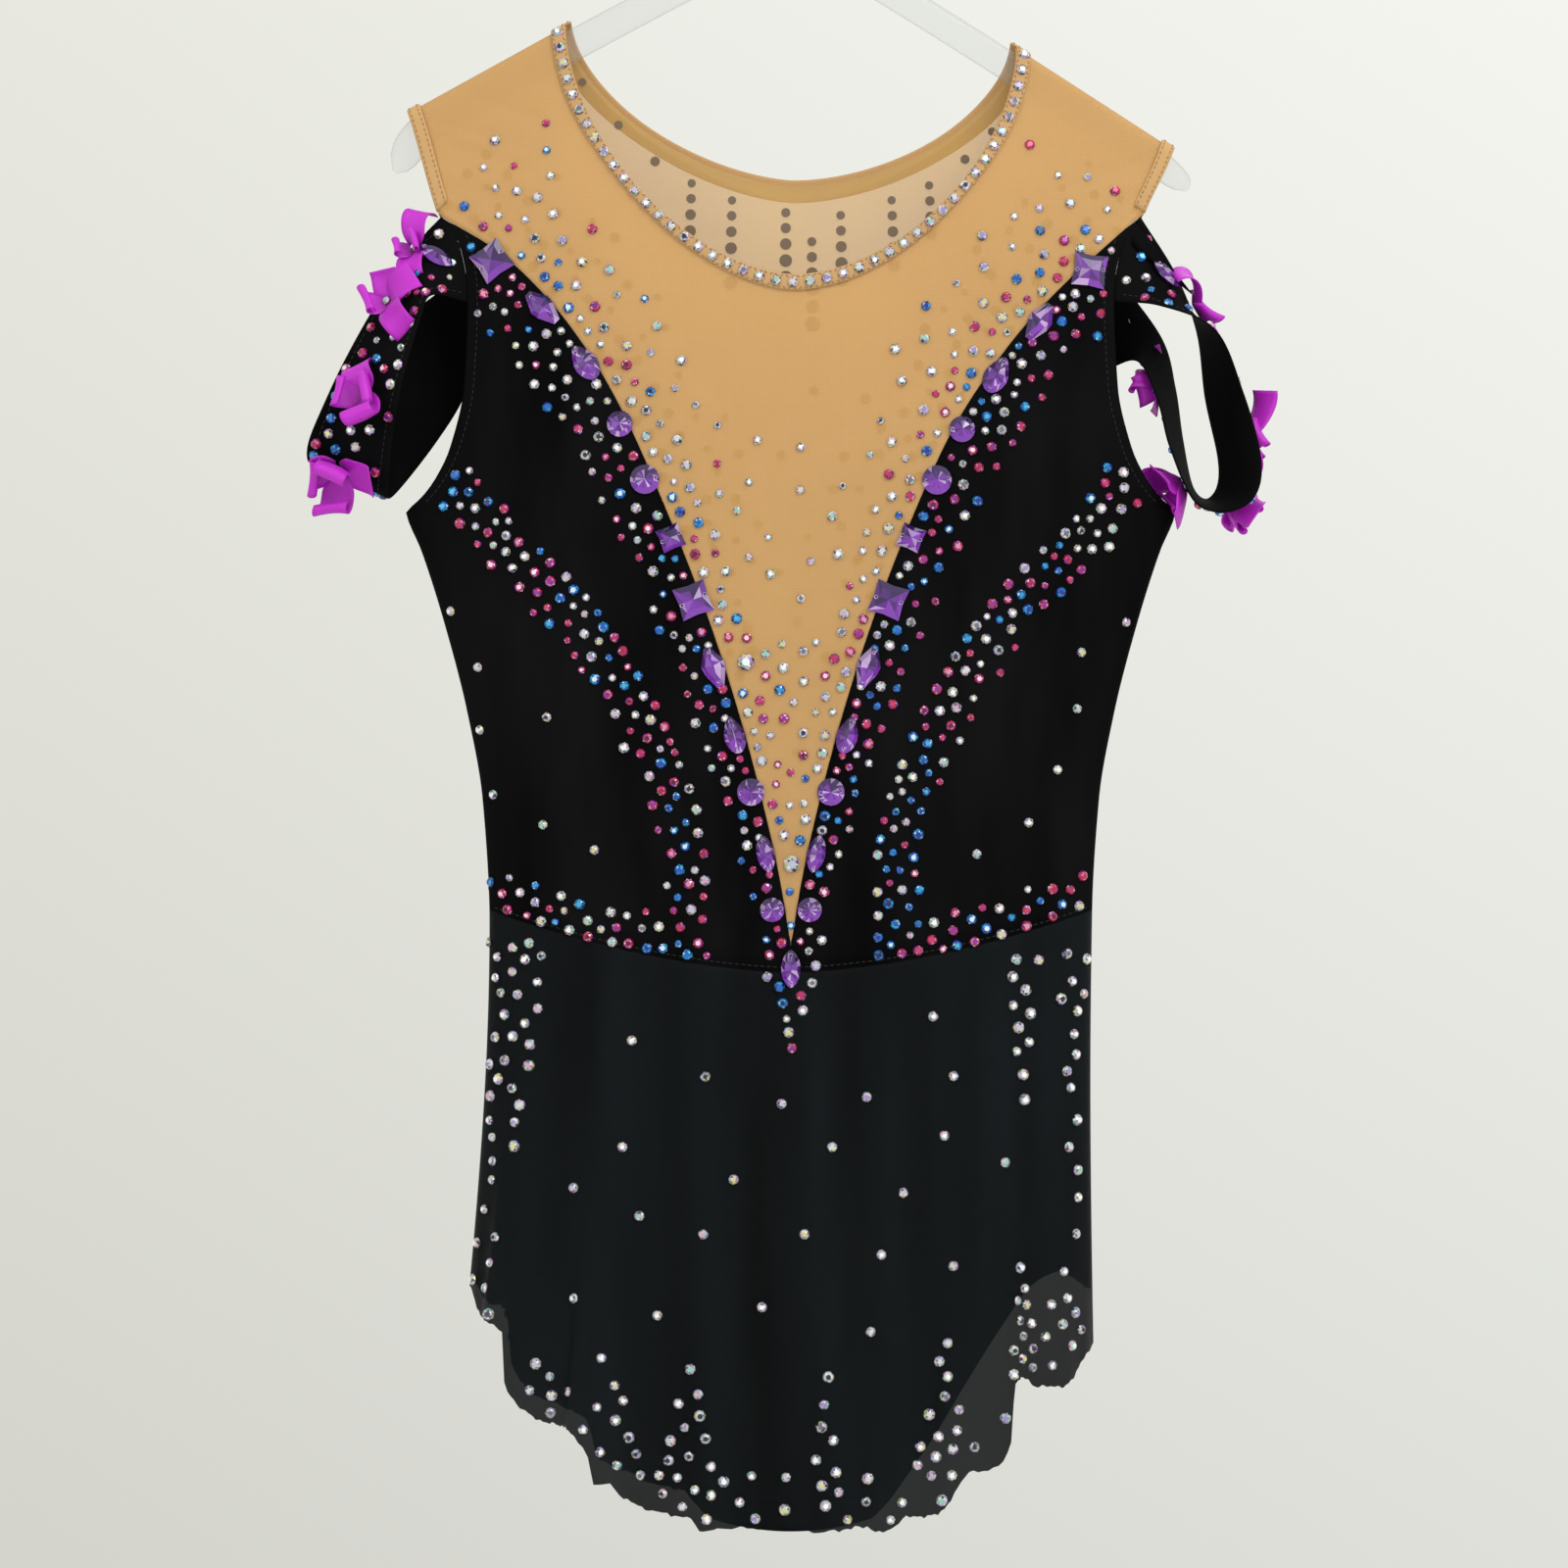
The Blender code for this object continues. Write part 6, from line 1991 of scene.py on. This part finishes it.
@dataclass
class BackTrim:
    """The back: drips of crystals from the neck, and a lighter form of the front's belts."""

    seed: int = 29
    columns: tuple[tuple[float, float, int, float], ...] = (
        (-97.2, 160.2, 1, 3.6), (-80.5, 178.7, 1, 4.0), (-63.5, 194.4, 1, 4.4),
        (-46.4, 203.6, 4, 3.8), (-27.5, 210.6, 6, 3.8), (-2.3, 215.1, 5, 4.2),
        (9.9, 228.0, 6, 4.2), (23.4, 215.1, 5, 4.0), (47.3, 207.0, 5, 3.8), (64.8, 199.4, 4, 3.8),
        (81.5, 186.8, 1, 4.2), (94.0, 173.7, 1, 3.8),
    )

    def build(self, stones: GluedStones) -> None:
        """Places the columns and scatters the belts."""
        scatter = Scatter(self.seed)
        random = scatter.random
        for across, drop, count, first in self.columns:
            for k in range(count):
                scatter.put(across * (1 + 0.006 * k), drop + 7.0 * k + 0.14 * k * k,
                            first + 0.55 * k, Tint.CRYSTAL, 0.0)
        for side in (-1, 1):
            for belt in (
                    Belt(V_LINE[1:], (4, 4), (24, 14), (2.4, 4.6), COLOURED, 1500),
                    Belt(V_LINE[:13], (-16, -16), (-46, -42), (5.5, 9.0), (1, 0, 0), 260, 0.4),
                    Belt(V_LINE[:16], (-4, -4), (-24, -20), (3.6, 8.0), (0.8, 0.12, 0.08), 500),
                    Belt(WAIST_LINE, (-9, -7.5), (9, 8), (2.2, 3.4), COLOURED, 560)):
                belt.fill(scatter, side)
        drop = random.uniform(290, 540, 600)
        across = random.uniform(-1, 1, 600) * (BODY.half_width(drop) - 3)
        scatter.throw(across, drop, 15.0, 4.6)
        scatter.only(lambda across, drop: on_cloth(across, drop) and drop < BODY.waist_middle - 10)
        surface = cloth_surface(Face.BACK)
        stones.take(scatter, surface, Face.BACK)
        scatter.only(lambda across, drop: abs(across) < BODY.v_edge(drop) - 3)
        glue_dots(scatter, surface)


def glue_dots(scatter: Scatter, surface: Surface, sides: int = 14, inside: float = 0.78,
              thick: float = 0.12, wider: float = 1.02) -> None:
    """The grey backs of the stones on the back mesh, seen from inside through the neck.

    Args:
        scatter: The stones on the mesh.
        surface: The mesh's outer face.
        sides: How many sides each thin disc has.
        inside: How far under the outer face it lies, in millimetres.
        thick: Its thickness.
        wider: Its width by the stone's.
    """
    rows = scatter.rows()
    spots = Spots.on(surface, rows[:, 0], rows[:, 1], Face.BACK.out, 1.0)
    circle = circles(spots.aside, spots.along, sides) * (rows[:, 2] / 2 * wider)[:, None, None]
    rings = [spots.place[:, None] + MM * (circle - depth * spots.out[:, None])
             for depth in (inside, inside + thick)]
    faces = [face for first in range(0, len(rows) * 2 * sides, 2 * sides)
             for face in tube_faces(2, sides, first)]
    mesh = mesh_of("glued_backs", np.concatenate(rings, axis=1), faces, smooth=False)
    turn_outwards(mesh)
    add_piece(mesh, GLUE)


@dataclass
class BandTrim:
    """A band's glued stones, its sewn stone and its ribbon flowers."""

    form: BandForm
    flowers: tuple[FlowerPlace, ...]
    seed: int

    def normal(self, along: Array, over: Array) -> Array:
        """The cross product of the band's two directions at places in millimetres."""
        face = self.form.face
        return np.cross(face(along + 1, over) - face(along - 1, over),
                        face(along, over + 1) - face(along, over - 1))

    def spots(self, along: Array, over: Array) -> Spots:
        """Places on the band's outer face, whose one sign is set at its lowest turn."""
        loop = self.form.face(np.linspace(0, BAND_LENGTH, 13), np.full(13, BAND_WIDTH / 2))
        middle = self.normal(np.array([BAND_LENGTH / 2]), np.array([BAND_WIDTH / 2]))[0]
        sign = np.sign(middle @ (loop[6] - loop.mean(axis=0)))
        return Spots.on(self.form.face, along, over, sign * self.normal(along, over), 1.0)

    def spot(self, scatter: Scatter, around: float, over: float, reach: float) -> Spots:
        """One place by its parts around and over, which the scatter then keeps clear."""
        along, over = around * BAND_LENGTH, over * BAND_WIDTH
        scatter.keep_clear(along, over, reach)
        return self.spots(np.array([along]), np.array([over]))

    def build(self, stones: GluedStones) -> None:
        """Makes the sewn stone, the flowers and their middles, then scatters the rest."""
        word, gem = self.form.hand.word, BAND_GEMS[self.form.hand]
        scatter = Scatter(self.seed)
        SewOnStone(f"stone_{word}_00", gem, self.seed).build(
            self.spot(scatter, gem.across, gem.drop, 5.5), 0.8)
        for number, place in enumerate(self.flowers, 1):
            spots = self.spot(scatter, place.round, place.over, place.size * 0.22)
            flower = RibbonFlower(f"flower_{word}_{number}", place, self.seed + number)
            stones.add(flower.build(spots), np.array([4.0]))
        places = scatter.random.random((700, 2)) * (BAND_LENGTH * 0.97, BAND_WIDTH - 6) + (2, 3)
        scatter.throw(places[:, 0], places[:, 1], 2.9, scatter.sizes(700),
                      scatter.tints(700, COLOURED))
        rows = scatter.rows()
        stones.add(self.spots(rows[:, 0], rows[:, 1]), rows[:, 2], rows[:, 3])


def sew_gems() -> None:
    """Sews the violet stones down both sides of the V and one under its tip."""
    surface = front_surface()
    pairs = [(f"stone_{hand.word}_{number:02d}", hand.value, gem)
             for hand in Hand for number, gem in enumerate(GEM_PAIRS, 1)]
    for seed, (node, side, gem) in enumerate([*pairs, ("stone_middle", 1, MIDDLE_GEM)], 40):
        turned = replace(gem, across=side * gem.across, turn=-side * gem.turn)
        across, drop = np.array([turned.across]), np.array([turned.drop])
        spots = Spots.on(surface, across, drop, Face.FRONT.out, 2.0)
        turn, reach = full_turn(8), turned.length / 2
        rim = surface(across + reach * np.cos(turn), drop + reach * np.sin(turn))
        highest = ((rim - spots.place) @ spots.out[0] / MM).max()
        SewOnStone(node, turned, seed).build(spots, max(float(highest), 0.0) + 0.3)


def sew_stitches() -> None:
    """Sews the rows of stitches on the bindings and along the black edges."""
    nude = Stitching("nude_stitches", NUDE_THREAD)
    for face in Face:
        grid = Yoke(face).binding_grid(np.array([0.0, 0.14, 0.5, 0.86, 1.0]))
        for column in (1, 3):
            nude.sew(grid[:, column] + face.out * 0.05 * MM, 0.7, face.out)
    for hand in Hand:
        grid = ArmBinding(hand).grid(np.array([0.0, 0.2, 0.5, 0.8, 1.0]))
        for column in (1, 3):
            nude.sew(grid[:, column], 0.5, np.array([hand.value * 0.6, 0.0, 0.8]))
    nude.build()
    black = Stitching("black_stitches", BLACK_THREAD, radius=0.22, long=2.2, pitch=2.9)
    for form in (LEFT_BAND, RIGHT_BAND):
        grid = form.at(np.linspace(0.02, 0.98, 200), np.array([0.10, 0.90]))
        for column in (0, 1):
            black.sew(grid[:, column])
    for face in Face:
        surface = BODY.surface(face, BODICE_CREASES[face])
        drop = np.linspace(232, 352, 120)
        for hand in Hand:
            black.sew(surface(hand.value * (BODY.armhole(drop) - 4.5), drop))
        across = np.linspace(-136, 136, 200)
        black.sew(surface(across, BODY.waist_drop(across) - 2.2))
    black.build()


# Stage


@dataclass
class Stage:
    """The pale floor, the soft lights and the camera."""

    look_across: float = -8.15
    look_height: float = -482.85
    view_size: float = 720.0
    distance: float = 1900.0
    garment_y: float = -20.0
    floor_height: float = -1150.0
    floor_half: float = 900.0

    def build(self) -> None:
        """Makes them all."""
        self.floor()
        self.world()
        self.lamp("key light", (0.9, -1.5, 1.0), 1.2, 18.0, (1.0, 0.985, 0.96))
        self.lamp("fill light", (-1.3, -1.4, 0.1), 1.4, 5.0, (0.97, 0.985, 1.0))
        self.lamp("back light", (0.6, 1.6, 1.2), 1.2, 4.0, (1.0, 1.0, 1.0))
        self.camera()

    def floor(self) -> None:
        """A flat square well below the hem."""
        half, low = self.floor_half * MM, self.floor_height * MM
        corners = np.array([(-half, -half, low), (half, -half, low), (half, half, low),
                            (-half, half, low)])
        mesh = mesh_of("floor", corners, [[0, 1, 2, 3]], smooth=False)
        mesh.materials.append(FLOOR.material())
        floor = bpy.data.objects.new("floor", mesh)
        bpy.context.scene.collection.objects.link(floor)

    def world(self) -> None:
        """A pale even surround, a little darker to the left as the room is."""
        world = bpy.data.worlds.new("studio")
        bpy.context.scene.world = world
        world.use_nodes = True
        nodes = Nodes(world.node_tree)
        across, _, up = nodes.parts(nodes.add("ShaderNodeTexCoord").outputs["Generated"])
        part = nodes.clamped(nodes.math("MULTIPLY_ADD", across, 2.7, 0.5))
        background = world.node_tree.nodes["Background"]
        nodes.feed(background.inputs["Color"],
                   nodes.mix(part, (0.80, 0.80, 0.74), (0.90, 0.91, 0.86)))
        rise = nodes.clamped(nodes.math("MULTIPLY_ADD", up, 0.5, 0.91), 0.8, 1.02)
        nodes.feed(background.inputs["Strength"], rise)

    def lamp(self, name: str, place: tuple[float, float, float], size: float, power: float,
             colour: Colour) -> None:
        """A square soft light that faces the garment's middle."""
        data = bpy.data.lights.new(name, "AREA")
        data.size, data.energy, data.color = size, power, colour
        lamp = bpy.data.objects.new(name, data)
        lamp.location = place
        toward = np.array([0.0, 0.0, self.look_height * MM]) - np.array(place)
        lamp.rotation_euler = to_rotation(toward)
        bpy.context.scene.collection.objects.link(lamp)

    def camera(self) -> None:
        """Looks level along +Y at the garment, as wide as the photograph's frame."""
        data = bpy.data.cameras.new("camera")
        reach = self.distance + self.garment_y
        data.sensor_width = 36.0
        data.lens = data.sensor_width * reach / self.view_size
        data.clip_end = 50.0
        camera = bpy.data.objects.new("camera", data)
        camera.location = (self.look_across * MM, -self.distance * MM, self.look_height * MM)
        camera.rotation_euler = (math.pi / 2, 0, 0)
        bpy.context.scene.collection.objects.link(camera)
        bpy.context.scene.camera = camera


def to_rotation(toward: Array) -> tuple[float, float, float]:
    """The turn that points an object's -Z along a direction."""
    x, y, z = unit(np.asarray(toward, float))
    return (math.acos(-z), 0.0, math.atan2(y, x) - math.pi / 2)


def main() -> None:
    """Builds the garment from its classes, then its trim, its hanger and the stage."""
    logging.basicConfig(level=logging.INFO, format="%(message)s")
    bpy.context.scene.view_settings.view_transform = "Standard"
    for face in Face:
        Yoke(face).build()
        for hand in Hand:
            Bodice(face, hand).build()
    for hand in Hand:
        ArmBinding(hand).build()
    Brief().build()
    build_skirt(FRONT_SKIRT, 0.0715)
    build_skirt(BACK_SKIRT, 0.0650)
    build_band(LEFT_BAND, 0.0084)
    build_band(RIGHT_BAND, 0.0086)
    sew_gems()
    front, back = GluedStones("front_stones"), GluedStones("back_stones")
    skirt_stones, band_stones = GluedStones("skirt_stones"), GluedStones("band_stones")
    FrontTrim().build(front)
    BackTrim().build(back)
    SkirtTrim(FRONT_SKIRT, 17).build(skirt_stones)
    SkirtTrim(BACK_SKIRT, 19).build(skirt_stones)
    BandTrim(LEFT_BAND, LEFT_FLOWERS, 60).build(band_stones)
    BandTrim(RIGHT_BAND, RIGHT_FLOWERS, 80).build(band_stones)
    for seed, stones in enumerate((front, back, skirt_stones, band_stones), 5):
        stones.build(seed)
    sew_stitches()
    Hanger().build_arms()
    Hanger().build_hook()
    Stage().build()


if __name__ == "__main__":
    main()
